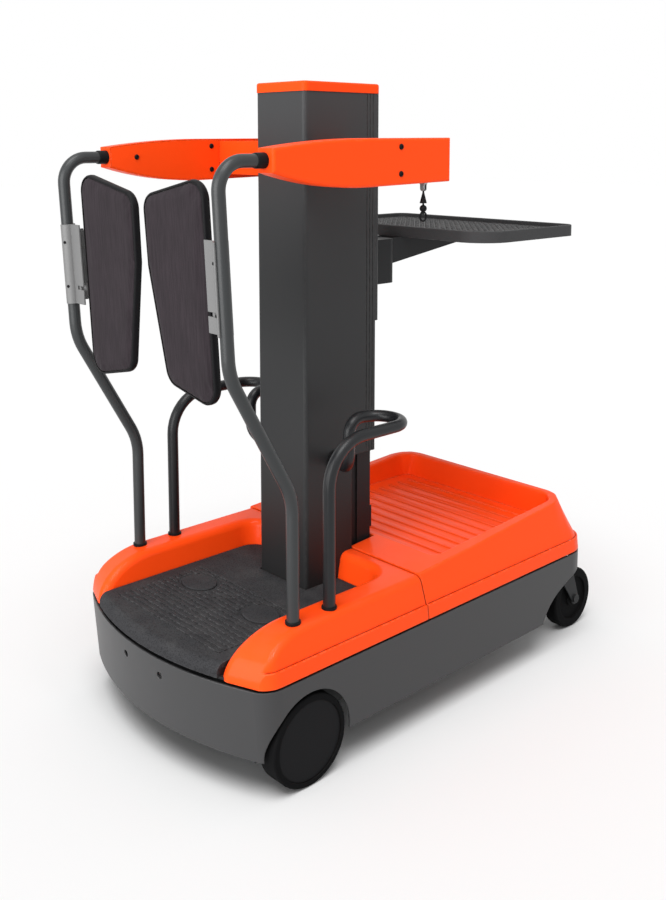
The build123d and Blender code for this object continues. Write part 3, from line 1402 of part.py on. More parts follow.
# Lift rocker: up on one end, down on the other
with BuildPart() as lift_rocker:
    rocker_xs = (hinge_x - 2 * slot_gap, hinge_x + slot_gap)
    rocker_ys = (rocker_y - rocker_width / 2, rocker_y + rocker_width / 2)
    block(rocker_xs, rocker_ys, (rocker_z - rocker_radius, rocker_z + rocker_radius))
    fillet(edges().filter_by(Axis.Y), stub)
    rod_along("Y", (hinge_x, rocker_y, rocker_z), stub, rocker_width + slot_gap)
save(lift_rocker, "lift_rocker")
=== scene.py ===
# %% [markdown]
# # Dressing a stand-on order picker
#
# The machine arrives in Blender as a frame of finished solids: base, mast, column, platform, gates and tray.
# This lesson gives each solid the finish of the real thing, and builds the pieces that plain solids show
# badly: the wide corners of the deck cover, the soft gate pads with their edge bands, the loops of the hand
# rails, the links of the lift chains, the grip of the load tray, the screw heads and black bands round the
# guard tubes at the mouths of the arms. Some finishes also carry painted shade and painted highlight.
# Everything is in metres, with +X from the bumper to the load deck and +Z up, as in the frame.

# %% Load the frame
import json
import math

import bmesh
import bpy
from mathutils import Matrix, Vector


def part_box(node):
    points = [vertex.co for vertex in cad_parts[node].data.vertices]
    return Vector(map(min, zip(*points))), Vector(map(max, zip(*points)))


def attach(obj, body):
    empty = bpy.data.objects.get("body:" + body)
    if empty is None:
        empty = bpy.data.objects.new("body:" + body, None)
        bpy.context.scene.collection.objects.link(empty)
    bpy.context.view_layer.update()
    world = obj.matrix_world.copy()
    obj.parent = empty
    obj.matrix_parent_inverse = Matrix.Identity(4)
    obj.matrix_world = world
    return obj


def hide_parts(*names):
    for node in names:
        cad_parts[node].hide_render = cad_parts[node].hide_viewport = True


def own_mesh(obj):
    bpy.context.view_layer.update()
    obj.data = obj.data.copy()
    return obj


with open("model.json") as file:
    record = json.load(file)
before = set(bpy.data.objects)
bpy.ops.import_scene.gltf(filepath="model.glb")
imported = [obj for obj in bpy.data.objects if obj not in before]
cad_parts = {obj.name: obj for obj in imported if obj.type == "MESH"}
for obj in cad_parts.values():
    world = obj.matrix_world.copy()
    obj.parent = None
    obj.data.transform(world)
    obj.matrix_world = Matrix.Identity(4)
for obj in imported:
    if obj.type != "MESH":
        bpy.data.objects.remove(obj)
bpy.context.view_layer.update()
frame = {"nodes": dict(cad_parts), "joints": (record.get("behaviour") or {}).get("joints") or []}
nodes = frame["nodes"]
scene = bpy.context.scene

# %% [markdown]
# ## The camera
#
# The picture was taken from the operator's end, near side, at about the height of the arms.
# A camera can be aimed at a target, but here the eye point, the turn and the dip are known, so the three axes
# of the camera are written out and set as its matrix. A lens shift slides the frame down to the wheels
# without tilting the column, as a view camera does in a studio.

# %% Place the camera
eye = Vector((-1.9868, -2.0492, 1.4800))
turn = math.radians(-42.991)
dip = math.radians(7.029)
lens = 41.512
film_width = 32.4
film_height = 36.0
frame_shift = -0.20

backward = Vector((math.sin(turn) * math.cos(dip), -math.cos(turn) * math.cos(dip), math.sin(dip)))
rightward = Vector((math.cos(turn), math.sin(turn), 0.0))
upward = backward.cross(rightward)
camera_data = bpy.data.cameras.new("photo_camera")
camera_data.lens = lens
camera_data.sensor_fit = "VERTICAL"
camera_data.sensor_width = film_width
camera_data.sensor_height = film_height
camera_data.shift_y = frame_shift
camera = bpy.data.objects.new("photo_camera", camera_data)
camera.matrix_world = Matrix.Translation(eye) @ Matrix((rightward, upward, backward)).transposed().to_4x4()
scene.collection.objects.link(camera)
scene.camera = camera
print("camera at", tuple(round(x, 3) for x in eye))

# %% [markdown]
# ## Floor, sky and lamps
#
# A catalogue picture of a machine is taken on a white sweep in even light. The sky does most of the work
# here: rays that light the machine find a soft grey-white, and rays that reach the camera or a reflection
# find white. A wide sun, high over the operator's near shoulder, gives the floor a soft shadow close about
# the machine. Two softboxes, one at the operator's end and one on the near side, put the pale sheen on the
# faces that look their way, and a small lamp sets glints on the rounded edges of the covers. In a studio
# they would be flagged off the floor; here light linking does that, so that they throw no shadow on it.

# %% Lay the floor
floor_reach = 30.0
floor_white = 0.93
floor_roughness = 0.9
square = [(-1, -1), (1, -1), (1, 1), (-1, 1)]

floor_mesh = bpy.data.meshes.new("studio_floor")
floor_corners = [(x * floor_reach, y * floor_reach, 0) for x, y in square]
floor_mesh.from_pydata(floor_corners, [], [(0, 1, 2, 3)])
floor = bpy.data.objects.new("studio_floor", floor_mesh)
scene.collection.objects.link(floor)
floor_paint = bpy.data.materials.new("studio_white")
floor_paint.use_nodes = True
floor_shader = floor_paint.node_tree.nodes["Principled BSDF"]
floor_shader.inputs["Base Color"].default_value = (floor_white, floor_white, floor_white, 1)
floor_shader.inputs["Roughness"].default_value = floor_roughness
floor_shader.inputs["Specular IOR Level"].default_value = 0.0
floor_mesh.materials.append(floor_paint)
print("floor white", floor_white)

# %% Light the sky
scene.view_settings.view_transform = "Standard"
sky_light = 0.48
sky_seen = 1.0

world = bpy.data.worlds.new("studio_sky")
world.use_nodes = True
scene.world = world
sky = world.node_tree
sky_shader = sky.nodes["Background"]
sky_shader.inputs["Color"].default_value = (1, 1, 1, 1)
ray = sky.nodes.new("ShaderNodeLightPath")
seen = sky.nodes.new("ShaderNodeMath")
seen.operation = "MAXIMUM"
shown = sky.nodes.new("ShaderNodeMath")
shown.operation = "MAXIMUM"
strength = sky.nodes.new("ShaderNodeMapRange")
strength.inputs["To Min"].default_value = sky_light
strength.inputs["To Max"].default_value = sky_seen
sky.links.new(ray.outputs["Is Camera Ray"], seen.inputs[0])
sky.links.new(ray.outputs["Is Glossy Ray"], seen.inputs[1])
sky.links.new(seen.outputs[0], shown.inputs[0])
sky.links.new(ray.outputs["Is Transmission Ray"], shown.inputs[1])
sky.links.new(shown.outputs[0], strength.inputs["Value"])
sky.links.new(strength.outputs["Result"], sky_shader.inputs["Strength"])
print("sky lights with", sky_light, "and shows as", sky_seen)

# %% Hang the lamps
sun_strength = 2.05
sun_spread = math.radians(40)
sun_from = Vector((-0.30, -0.25, 1.0))
sun_distance = 4.0
machine_middle = Vector((-0.2, 0.0, 0.8))
# Each box has its place, its width and its power in watts.
softboxes = {
    "operator_softbox": (Vector((-3.5, -0.4, 1.5)), 3.0, 125.0),
    "near_softbox": (Vector((-0.4, -3.4, 3.4)), 2.6, 12.0),
    "glint_lamp": (Vector((-1.2, -2.2, 3.6)), 0.45, 14.0),
}


def add_lamp(name, kind, place, target, **settings):
    """A lamp at a place, turned to a target."""
    data = bpy.data.lights.new(name, kind)
    for key, value in settings.items():
        setattr(data, key, value)
    lamp = bpy.data.objects.new(name, data)
    lamp.location = place
    lamp.rotation_euler = (target - place).to_track_quat("-Z", "Y").to_euler()
    scene.collection.objects.link(lamp)
    return lamp


add_lamp("wide_sun", "SUN", sun_from * sun_distance, Vector((0, 0, 0)), energy=sun_strength, angle=sun_spread)
off_the_floor = bpy.data.collections.new("off_the_floor")
off_the_floor.objects.link(floor)
off_the_floor.collection_objects[0].light_linking.link_state = "EXCLUDE"
for name, (place, size, power) in softboxes.items():
    lamp = add_lamp(name, "AREA", place, machine_middle, energy=power, size=size)
    lamp.light_linking.receiver_collection = off_the_floor
print("sun", sun_strength, "and", len(softboxes), "lamps that spare the floor")

# %% [markdown]
# ## Effects that several finishes share
#
# Paint, plastic and rubber differ in colour, but the same few things make all of them look real: a tint that
# is never quite even, edges that catch the light and rub bare, dust that settles on what faces up, and a fine
# grain. Painted shade in the corners and towards the foot of what is tall, and a painted highlight on some
# lightened edges, are built the same way.
# Each effect is built once as a node group with its own inputs, and every material places it with its own
# values. The groups read object coordinates, so an effect stays on its piece when the piece moves.

# %% Helpers for node trees
# A mix node has sockets for every kind of data; these are the positions of those for colours.
mix_inputs = (0, 6, 7)
mix_result = 2


def put(tree, target, value):
    """Links a socket into a target, or sets a plain value there."""
    if isinstance(value, bpy.types.NodeSocket):
        tree.links.new(value, target)
    else:
        target.default_value = value


def compute(tree, operation, *values):
    """A math node with sockets or numbers for inputs; gives its result socket."""
    node = tree.nodes.new("ShaderNodeMath")
    node.operation = operation
    for socket, value in zip(node.inputs, values):
        put(tree, socket, value)
    return node.outputs[0]


def blend_colours(tree, factor, first, second):
    """A colour mix; gives its result socket."""
    node = tree.nodes.new("ShaderNodeMix")
    node.data_type = "RGBA"
    for index, value in zip(mix_inputs, (factor, first, second)):
        put(tree, node.inputs[index], value)
    return node.outputs[mix_result]


def ramp(tree, value, low, high):
    """Spreads a value so that low becomes 0 and high becomes 1."""
    node = tree.nodes.new("ShaderNodeMapRange")
    put(tree, node.inputs["Value"], value)
    put(tree, node.inputs["From Min"], low)
    put(tree, node.inputs["From Max"], high)
    return node.outputs["Result"]


def cloud(tree, place, scale, detail=4.0):
    """A noise texture; gives its value socket."""
    node = tree.nodes.new("ShaderNodeTexNoise")
    put(tree, node.inputs["Vector"], place)
    put(tree, node.inputs["Scale"], scale)
    node.inputs["Detail"].default_value = detail
    return node.outputs["Fac"]


def own_place(tree, output="Object"):
    """Where a point is on its own piece."""
    return tree.nodes.new("ShaderNodeTexCoord").outputs[output]


def start_group(name, inputs, outputs):
    """An empty shader group with named sockets; gives the tree, what it is given and what it makes."""
    tree = bpy.data.node_groups.new(name, "ShaderNodeTree")
    for label, kind, value in inputs:
        socket = tree.interface.new_socket(label, in_out="INPUT", socket_type="NodeSocket" + kind)
        socket.default_value = value
    for label, kind in outputs:
        tree.interface.new_socket(label, in_out="OUTPUT", socket_type="NodeSocket" + kind)
    return tree, tree.nodes.new("NodeGroupInput").outputs, tree.nodes.new("NodeGroupOutput").inputs


print("helpers ready")

# %% Uneven tint
plain_grey = (0.5, 0.5, 0.5, 1.0)
cloud_middle = 0.5

uneven_tint, given, made = start_group(
    "uneven_tint",
    [("Color", "Color", plain_grey), ("Scale", "Float", 6.0), ("Amount", "Float", 0.1)],
    [("Color", "Color"), ("Cloud", "Float")],
)
patches = cloud(uneven_tint, own_place(uneven_tint), given["Scale"])
off_middle = compute(uneven_tint, "SUBTRACT", patches, cloud_middle)
gain = compute(uneven_tint, "ADD", compute(uneven_tint, "MULTIPLY", off_middle, given["Amount"]), 1.0)
scaled = uneven_tint.nodes.new("ShaderNodeVectorMath")
scaled.operation = "SCALE"
put(uneven_tint, scaled.inputs[0], given["Color"])
put(uneven_tint, scaled.inputs["Scale"], gain)
put(uneven_tint, made["Color"], scaled.outputs[0])
put(uneven_tint, made["Cloud"], patches)
print("group", uneven_tint.name)

# %% Edge wear and painted edge highlight
edge_samples = 4
edge_starts = 0.995
edge_full = 0.85
scratch_scale = 90.0
scratch_detail = 6.0
scratch_starts = 0.42
scratch_full = 0.62

# Edges are lightened towards the Worn Color as worn paint. On some finishes, such as the orange shell and the
# mat, the lightening is also a painted highlight.
edge_wear_and_highlight, given, made = start_group(
    "edge_wear_and_highlight",
    [("Color", "Color", plain_grey), ("Worn Color", "Color", plain_grey), ("Width", "Float", 0.002),
     ("Amount", "Float", 0.3)],
    [("Color", "Color"), ("Normal", "Vector")],
)
rounded = edge_wear_and_highlight.nodes.new("ShaderNodeBevel")
rounded.samples = edge_samples
put(edge_wear_and_highlight, rounded.inputs["Radius"], given["Width"])
flat_normal = edge_wear_and_highlight.nodes.new("ShaderNodeNewGeometry").outputs["Normal"]
likeness = edge_wear_and_highlight.nodes.new("ShaderNodeVectorMath")
likeness.operation = "DOT_PRODUCT"
put(edge_wear_and_highlight, likeness.inputs[0], rounded.outputs["Normal"])
put(edge_wear_and_highlight, likeness.inputs[1], flat_normal)
edge = ramp(edge_wear_and_highlight, likeness.outputs["Value"], edge_starts, edge_full)
scratch_cloud = cloud(edge_wear_and_highlight, own_place(edge_wear_and_highlight), scratch_scale, scratch_detail)
scratches = ramp(edge_wear_and_highlight, scratch_cloud, scratch_starts, scratch_full)
edge_lightening = compute(edge_wear_and_highlight, "MULTIPLY", compute(edge_wear_and_highlight, "MULTIPLY", edge, scratches), given["Amount"])
put(edge_wear_and_highlight, made["Color"], blend_colours(edge_wear_and_highlight, edge_lightening, given["Color"], given["Worn Color"]))
put(edge_wear_and_highlight, made["Normal"], rounded.outputs["Normal"])
print("group", edge_wear_and_highlight.name)

# %% Settled dust
dust_grey = (0.55, 0.53, 0.5, 1.0)
dust_holds = 0.4
dust_level = 1.0
drift_scale = 14.0
drift_detail = 8.0
drift_starts = 0.4
drift_full = 0.75

settled_dust, given, made = start_group(
    "settled_dust",
    [("Color", "Color", plain_grey), ("Dust Color", "Color", dust_grey), ("Amount", "Float", 0.1)],
    [("Color", "Color"), ("Mask", "Float")],
)
facing = settled_dust.nodes.new("ShaderNodeSeparateXYZ")
put(settled_dust, facing.inputs[0], own_place(settled_dust, "Normal"))
level = ramp(settled_dust, facing.outputs["Z"], dust_holds, dust_level)
drift_cloud = cloud(settled_dust, own_place(settled_dust), drift_scale, drift_detail)
drift = ramp(settled_dust, drift_cloud, drift_starts, drift_full)
laid = compute(settled_dust, "MULTIPLY", compute(settled_dust, "MULTIPLY", level, drift), given["Amount"])
put(settled_dust, made["Color"], blend_colours(settled_dust, laid, given["Color"], given["Dust Color"]))
put(settled_dust, made["Mask"], laid)
print("group", settled_dust.name)

# %% Painted shade in the corners
corner_shade_dark = (0.01, 0.008, 0.006, 1.0)
corner_shade_samples = 4
corner_shade_starts = 0.8
corner_shade_full = 0.3

# Ambient occlusion darkens corners, creases and seams towards near black, as painted shade.
painted_corner_shade, given, made = start_group(
    "painted_corner_shade",
    [("Color", "Color", plain_grey), ("Reach", "Float", 0.008), ("Amount", "Float", 0.5)],
    [("Color", "Color")],
)
openness = painted_corner_shade.nodes.new("ShaderNodeAmbientOcclusion")
openness.samples = corner_shade_samples
put(painted_corner_shade, openness.inputs["Distance"], given["Reach"])
corner = ramp(painted_corner_shade, openness.outputs["AO"], corner_shade_starts, corner_shade_full)
corner_shade_mask = compute(painted_corner_shade, "MULTIPLY", corner, given["Amount"])
put(painted_corner_shade, made["Color"], blend_colours(painted_corner_shade, corner_shade_mask, given["Color"], corner_shade_dark))
print("group", painted_corner_shade.name)

# %% Painted shade towards the foot
black = (0.0, 0.0, 0.0, 1.0)

# Below the head the colour is blended towards black, as painted shade that deepens towards the foot.
painted_foot_shade, given, made = start_group(
    "painted_foot_shade",
    [("Color", "Color", plain_grey), ("Foot", "Float", 0.0), ("Head", "Float", 1.0),
     ("Amount", "Float", 0.0)],
    [("Color", "Color")],
)
height = painted_foot_shade.nodes.new("ShaderNodeSeparateXYZ")
put(painted_foot_shade, height.inputs[0], own_place(painted_foot_shade))
drop = ramp(painted_foot_shade, height.outputs["Z"], given["Head"], given["Foot"])
foot_shade_mask = compute(painted_foot_shade, "MULTIPLY", drop, given["Amount"])
put(painted_foot_shade, made["Color"], blend_colours(painted_foot_shade, foot_shade_mask, given["Color"], black))
print("group", painted_foot_shade.name)

# %% Fine grain and pebbles
grain_detail = 3.0


def stretched_place(tree, stretch):
    """Where a point is on its own piece, with each axis stretched."""
    node = tree.nodes.new("ShaderNodeVectorMath")
    node.operation = "MULTIPLY"
    put(tree, node.inputs[0], own_place(tree))
    put(tree, node.inputs[1], stretch)
    return node.outputs[0]


fine_grain, given, made = start_group(
    "fine_grain",
    [("Scale", "Float", 600.0), ("Stretch", "Vector", (1.0, 1.0, 1.0))],
    [("Height", "Float")],
)
grains = cloud(fine_grain, stretched_place(fine_grain, given["Stretch"]), given["Scale"], grain_detail)
put(fine_grain, made["Height"], grains)

pebbles, given, made = start_group(
    "pebbles",
    [("Scale", "Float", 300.0), ("Stretch", "Vector", (1.0, 1.0, 1.0))],
    [("Height", "Float")],
)
cells = pebbles.nodes.new("ShaderNodeTexVoronoi")
cells.feature = "SMOOTH_F1"
put(pebbles, cells.inputs["Vector"], stretched_place(pebbles, given["Stretch"]))
put(pebbles, cells.inputs["Scale"], given["Scale"])
put(pebbles, made["Height"], compute(pebbles, "SUBTRACT", 1.0, cells.outputs["Distance"]))
print("groups", fine_grain.name, pebbles.name)

# %% [markdown]
# ## A finish from its ingredients
#
# Every finish on the machine is one Principled shader with the shared effects in front of it. For the colour
# they come in this order: tint, grime in the hollows of the grain, painted shade towards the foot, lightened
# edges (wear, and on some finishes a painted highlight), painted shade in the corners, dust. The tint's cloud
# and the dust vary the roughness, and the grain makes the bump.
# Numbers that are the same all over a surface, such as coat and metal, are set on the shader itself.

# %% The finish builder
hollow_starts = 0.62
hollow_full = 0.38
dust_dulls = 0.3
finishes = {}


def linear(hex_code):
    """A hex colour as the linear numbers that Blender's sockets take, by the sRGB curve."""
    parts = [int(hex_code[i:i + 2], 16) / 255 for i in (1, 3, 5)]
    return tuple(c / 12.92 if c <= 0.04045 else ((c + 0.055) / 1.055) ** 2.4 for c in parts) + (1.0,)


def place_group(tree, group, **values):
    """A group node with its inputs set or linked; gives its outputs."""
    node = tree.nodes.new("ShaderNodeGroup")
    node.node_tree = group
    for label, value in values.items():
        put(tree, node.inputs[label.replace("_", " ")], value)
    return node.outputs


def finish(slot, colour, roughness, tint=(6.0, 0.1), worn="#8a8a8a", wear=(0.002, 0.2), dust=0.05,
           grain=(fine_grain, dict(Scale=600.0)), bump=(0.1, 0.0002), grime=0.0, fade=(0.0, 1.0, 0.0),
           dirt=0.5, swing=0.1, **constants):
    """Makes one material of the machine: shared effects in front of a Principled shader.

    A tint is its scale and amount, an edge mark the width and amount of the lightened edges (wear, and on
    some finishes a painted highlight), a bump its strength and distance, a fade its foot, head and amount of
    painted shade towards the foot, the corner shade its amount of painted shade in the corners, and a grain
    its group and that group's values.
    """
    material = bpy.data.materials.new(slot + "_finish")
    material.use_nodes = True
    tree = material.node_tree
    shader = tree.nodes["Principled BSDF"]
    for label, value in constants.items():
        shader.inputs[label.replace("_", " ")].default_value = value
    tinted = place_group(tree, uneven_tint, Color=linear(colour), Scale=tint[0], Amount=tint[1])
    relief = place_group(tree, grain[0], **grain[1])
    hollow = compute(tree, "MULTIPLY", ramp(tree, relief["Height"], hollow_starts, hollow_full), grime)
    grimed = blend_colours(tree, hollow, tinted["Color"], black)
    faded = place_group(tree, painted_foot_shade, Color=grimed, Foot=fade[0], Head=fade[1], Amount=fade[2])
    edge_marked = place_group(tree, edge_wear_and_highlight, Color=faded["Color"], Worn_Color=linear(worn),
                         Width=wear[0], Amount=wear[1])
    corner_shaded = place_group(tree, painted_corner_shade, Color=edge_marked["Color"], Amount=dirt)
    dusted = place_group(tree, settled_dust, Color=corner_shaded["Color"], Amount=dust)
    put(tree, shader.inputs["Base Color"], dusted["Color"])
    uneven = compute(tree, "MULTIPLY_ADD", tinted["Cloud"], swing, roughness - swing / 2)
    put(tree, shader.inputs["Roughness"], compute(tree, "MULTIPLY_ADD", dusted["Mask"], dust_dulls, uneven))
    surface = tree.nodes.new("ShaderNodeBump")
    surface.inputs["Strength"].default_value = bump[0]
    surface.inputs["Distance"].default_value = bump[1]
    put(tree, surface.inputs["Height"], relief["Height"])
    put(tree, surface.inputs["Normal"], edge_marked["Normal"])
    put(tree, shader.inputs["Normal"], surface.outputs["Normal"])
    finishes[slot] = material


print("finish builder ready")

# %% [markdown]
# ## Orange: moulded covers and painted arms
#
# The deck cover and the fenders are moulded shells with a deep gloss and a faint orange peel; the arms,
# consoles and column cap are sheet steel in the same colour. One could give both the same material, but a
# moulding has a clear, wet gloss and paint has a finer, drier one, so they get their own roughness and grain.

# %% Orange finishes
orange = "#fb4a12"
worn_and_highlight_orange = "#ff9a70"
# The shell's lightened edges are worn paint and a painted highlight along its creases.
finish("orange_shell", orange, 0.34, tint=(3.0, 0.08), worn=worn_and_highlight_orange, wear=(0.004, 0.45), dust=0.02,
       grain=(fine_grain, dict(Scale=260.0)), bump=(0.05, 0.0004), dirt=0.5, swing=0.12, Coat_Weight=0.1,
       Coat_Roughness=0.06, Specular_IOR_Level=0.07)
finish("orange_paint", orange, 0.4, tint=(4.0, 0.06), worn=worn_and_highlight_orange, wear=(0.002, 0.3), dust=0.02,
       grain=(fine_grain, dict(Scale=420.0)), bump=(0.06, 0.0003), swing=0.1, Specular_IOR_Level=0.08)
print("orange", linear(orange))

# %% [markdown]
# ## Grey and black paints
#
# The skirt, column and tubes are powder coated: a satin grey with a fine pimpled skin that rubs bright on its
# edges. The column's colour is darkened towards its foot as painted shade. The hand rails, the mast and the
# frame inside are near black, and the hinge brackets a lighter grey.

# %% Painted steel
powder = (fine_grain, dict(Scale=900.0))
finish("grey_paint", "#323233", 0.42, worn="#7a7a7a", wear=(0.003, 0.3), dust=0.04, grain=powder,
       bump=(0.15, 0.0002), swing=0.08, Specular_IOR_Level=0.4)
# The column's fade is painted shade on its lower part.
finish("column_paint", "#393a3b", 0.42, fade=(0.3, 1.6, 0.65), worn="#707070", wear=(0.003, 0.25),
       dust=0.03, grain=powder, bump=(0.15, 0.0002), swing=0.08, Specular_IOR_Level=0.2)
finish("tube_paint", "#2b2d2e", 0.34, worn="#9a9a9a", wear=(0.002, 0.2), dust=0.03, grain=powder,
       bump=(0.1, 0.0002), swing=0.1, Specular_IOR_Level=0.35)
finish("hand_rail_paint", "#17181a", 0.34, worn="#6a6a6a", wear=(0.002, 0.2), dust=0.02, grain=powder,
       bump=(0.1, 0.0002), swing=0.1, Specular_IOR_Level=0.3)
finish("bracket_paint", "#686868", 0.45, worn="#a0a0a0", wear=(0.002, 0.3), dust=0.04, grain=powder,
       bump=(0.12, 0.0002), swing=0.1)
finish("frame_paint", "#141517", 0.5, worn="#666666", wear=(0.002, 0.3), dust=0.05, grain=powder,
       bump=(0.2, 0.0002), swing=0.15, Specular_IOR_Level=0.25)
print("paints", len(finishes))

# %% [markdown]
# ## Rubber, vinyl and plastics
#
# The mat and the tyres are carbon black rubber: nearly black, dull, with a pebbled skin that holds dust. The
# tray and the control pod are moulded plastic with a leather grain etched into the mould. The pad cover is a
# soft brushed vinyl whose streaks run up and down, so its grain is stretched along Z.

# %% Soft and moulded finishes
brushed = (fine_grain, dict(Scale=260.0, Stretch=(1, 1, 0.03)))
# The mat's lightened rib edges are wear and painted highlight, and its grooves take full painted shade.
finish("mat_rubber", "#313133", 0.75, tint=(40.0, 0.35), worn="#6e6e70", wear=(0.003, 0.7), dust=0.03,
       dirt=1.0, grain=(pebbles, dict(Scale=420.0)), bump=(0.35, 0.0005), grime=0.5, swing=0.1,
       Specular_IOR_Level=0.12)
finish("tyre", "#0c0c0d", 0.75, tint=(7.0, 0.3), worn="#2a2a2a", wear=(0.004, 0.4), dust=0.02,
       grain=(pebbles, dict(Scale=700.0)), bump=(0.2, 0.0003), grime=0.3, swing=0.1, Specular_IOR_Level=0.06)
finish("pad_vinyl", "#2b2529", 0.85, tint=(14.0, 0.5), worn="#5a5658", wear=(0.004, 0.3), dust=0.02,
       grain=brushed, bump=(0.5, 0.0008), grime=0.25, swing=0.1, Sheen_Weight=0.04, Specular_IOR_Level=0.1)
finish("tray_plastic", "#363637", 0.62, tint=(10.0, 0.2), worn="#909090", wear=(0.003, 0.5), dust=0.06,
       grain=(pebbles, dict(Scale=330.0)), bump=(0.4, 0.0005), grime=0.12, swing=0.12,
       Specular_IOR_Level=0.25)
finish("black_plastic", "#0e0e10", 0.5, worn="#444444", wear=(0.002, 0.3), dust=0.03,
       grain=(pebbles, dict(Scale=800.0)), bump=(0.25, 0.0003), swing=0.1, Specular_IOR_Level=0.1)
finish("red_plastic", "#c0150f", 0.3, worn="#e0604f", wear=(0.001, 0.2), dust=0.02, bump=(0.03, 0.0002),
       swing=0.08, Coat_Weight=0.2)
finish("nylon", "#d2cec0", 0.55, worn="#e8e6de", dust=0.1, bump=(0.1, 0.0002), swing=0.1)
print("finishes", len(finishes))

# %% [markdown]
# ## Bare metal
#
# Pins, chains and the cylinder rod are machined steel, and the motor bodies are cast alloy. Metal is all
# reflection, so its roughness and its bump carry the detail: turning marks as stretched grain on steel, a
# sandy skin on castings.

# %% Metals
turned_marks = (fine_grain, dict(Scale=900.0, Stretch=(1, 1, 0.1)))
finish("steel", "#a9aaab", 0.3, tint=(20.0, 0.15), worn="#dadada", wear=(0.001, 0.4), dust=0.04,
       grain=turned_marks, bump=(0.08, 0.0002), swing=0.18, Metallic=1.0)
finish("alloy", "#9fa1a3", 0.45, tint=(12.0, 0.2), worn="#cfcfcf", dust=0.12,
       grain=(pebbles, dict(Scale=900.0)), bump=(0.3, 0.0003), swing=0.15, Metallic=1.0)
print("finishes", len(finishes))

# %% [markdown]
# ## Dressing the solids
#
# Every solid comes with a slot that says what it is made of, and the finishes carry the names of the slots,
# so a loop can dress the whole machine. The tray's bracket alone takes the black of the frame.

# %% Dress the solids
for node in nodes.values():
    slot_name = node.material_slots[0].material.name.split(".")[0]
    node.material_slots[0].material = finishes[slot_name]
nodes["tray_bracket"].material_slots[0].material = finishes["frame_paint"]
print("dressed", len(nodes), "solids with", len(finishes), "finishes")

# %% [markdown]
# ## A piece of our own
#
# A new piece is drawn in a bmesh, which is Blender's mesh editor without its window. One helper starts it as
# a copy of a solid. Another turns the drawing into an object, smooths its shading up to a sharp angle, gives
# it the finish of a slot and lets it ride on a body.

# %% The piece helpers
same_point = 1e-5


def merged_copy(name):
    """A bmesh of a solid, with the points that its faces share made one."""
    drawn = bmesh.new()
    drawn.from_mesh(nodes[name].data)
    bmesh.ops.remove_doubles(drawn, verts=drawn.verts, dist=same_point)
    return drawn


def make_piece(name, drawn, slot, body, sharp=35.0):
    """An object from a bmesh, with a finish, riding on a body of the machine."""
    mesh = bpy.data.meshes.new(name)
    bmesh.ops.recalc_face_normals(drawn, faces=drawn.faces)
    drawn.to_mesh(mesh)
    drawn.free()
    mesh.materials.append(finishes[slot])
    mesh.shade_smooth()
    mesh.set_sharp_from_angle(angle=math.radians(sharp))
    piece = bpy.data.objects.new(name, mesh)
    scene.collection.objects.link(piece)
    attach(piece, body)
    return piece


print("piece helpers ready")

# %% [markdown]
# ## Deck cover
#
# The rim of the load deck turns its two rear corners in a wide sweep, wider at the top than at the foot. The
# solid draws in its walls as they rise, which leaves tight corners at the top. They could be modelled anew,
# but the solid is right everywhere else, so a copy of it is cut into narrow strips at the corners, and the
# strips are bent: a point of a square corner keeps its ring about the heart of the corner, and the ring
# becomes round. The bend starts at the crease above the skirt, so the foot keeps its fit.

# %% Cut the rim corners into strips
corner_round = 0.085
corner_strips = 12
rim_band = 0.012
cut_tolerance = 1e-6

_, deck_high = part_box("deck_cover")
shell = merged_copy("deck_cover")
rim = [v.co for v in shell.verts if v.co.z > deck_high.z - rim_band]
heart_x = max(co.x for co in rim) - corner_round
heart_y = max(co.y for co in rim) - corner_round
for step in range(corner_strips):
    share = step / corner_strips
    cut_x = heart_x + share * (deck_high.x - heart_x)
    cut_y = heart_y + share * (deck_high.y - heart_y)
    for spot, way in (((cut_x, 0, 0), (1, 0, 0)), ((0, cut_y, 0), (0, 1, 0)), ((0, -cut_y, 0), (0, 1, 0))):
        every = shell.verts[:] + shell.edges[:] + shell.faces[:]
        bmesh.ops.bisect_plane(shell, geom=every, dist=cut_tolerance, plane_co=spot, plane_no=way)
print("deck cover cut into", len(shell.faces), "faces")

# %% Bend the strips
corner_power = 5.4
bend_from = 0.315
bend_to = 0.425

for v in shell.verts:
    out_x = v.co.x - heart_x
    out_y = abs(v.co.y) - heart_y
    if out_x > 0 and out_y > 0:
        rise = min(1.0, max(0.0, (v.co.z - bend_from) / (bend_to - bend_from)))
        ring = (out_x**corner_power + out_y**corner_power) ** (1 / corner_power)
        pull = 1 + (ring / math.hypot(out_x, out_y) - 1) * rise
        v.co.x = heart_x + out_x * pull
        v.co.y = math.copysign(heart_y + out_y * pull, v.co.y)
deck_shell = make_piece("deck_shell", shell, "orange_shell", "chassis")
deck_shell.modifiers.new("even_walls", "WEIGHTED_NORMAL").keep_sharp = True
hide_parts("deck_cover")
print(deck_shell.name, len(deck_shell.data.polygons), "faces")

# %% [markdown]
# ## Gate pads
#
# Each gate is a steel plate with a foam pad on both faces, under a tight cover. A cushion could be sculpted,
# but a cloth simulation finds the crown by itself: the pad starts slimmer than its room, the side that is
# glued to the plate is pinned, and a little pressure inside swells the cover. A cap on the movement keeps the
# pad in the space of its solid, and one subdivision rounds the result.

# %% The space of a gate
def joint(name):
    """A joint of the frame, by its name."""
    return next(j for j in frame["joints"] if j["name"] == name)


def gate_space(side):
    """The place of a gate: X through it, Y across the machine and Z up its leaning hinge."""
    hinge = joint(f"{side}_gate_hinge")
    across = Vector((0, 1, 0))
    through = across.cross(Vector(hinge["axis"])).normalized()
    through *= math.copysign(1.0, through.x)
    turned = Matrix((through, across, through.cross(across))).transposed()
    return Matrix.Translation(hinge["pos_m"]) @ turned.to_4x4()


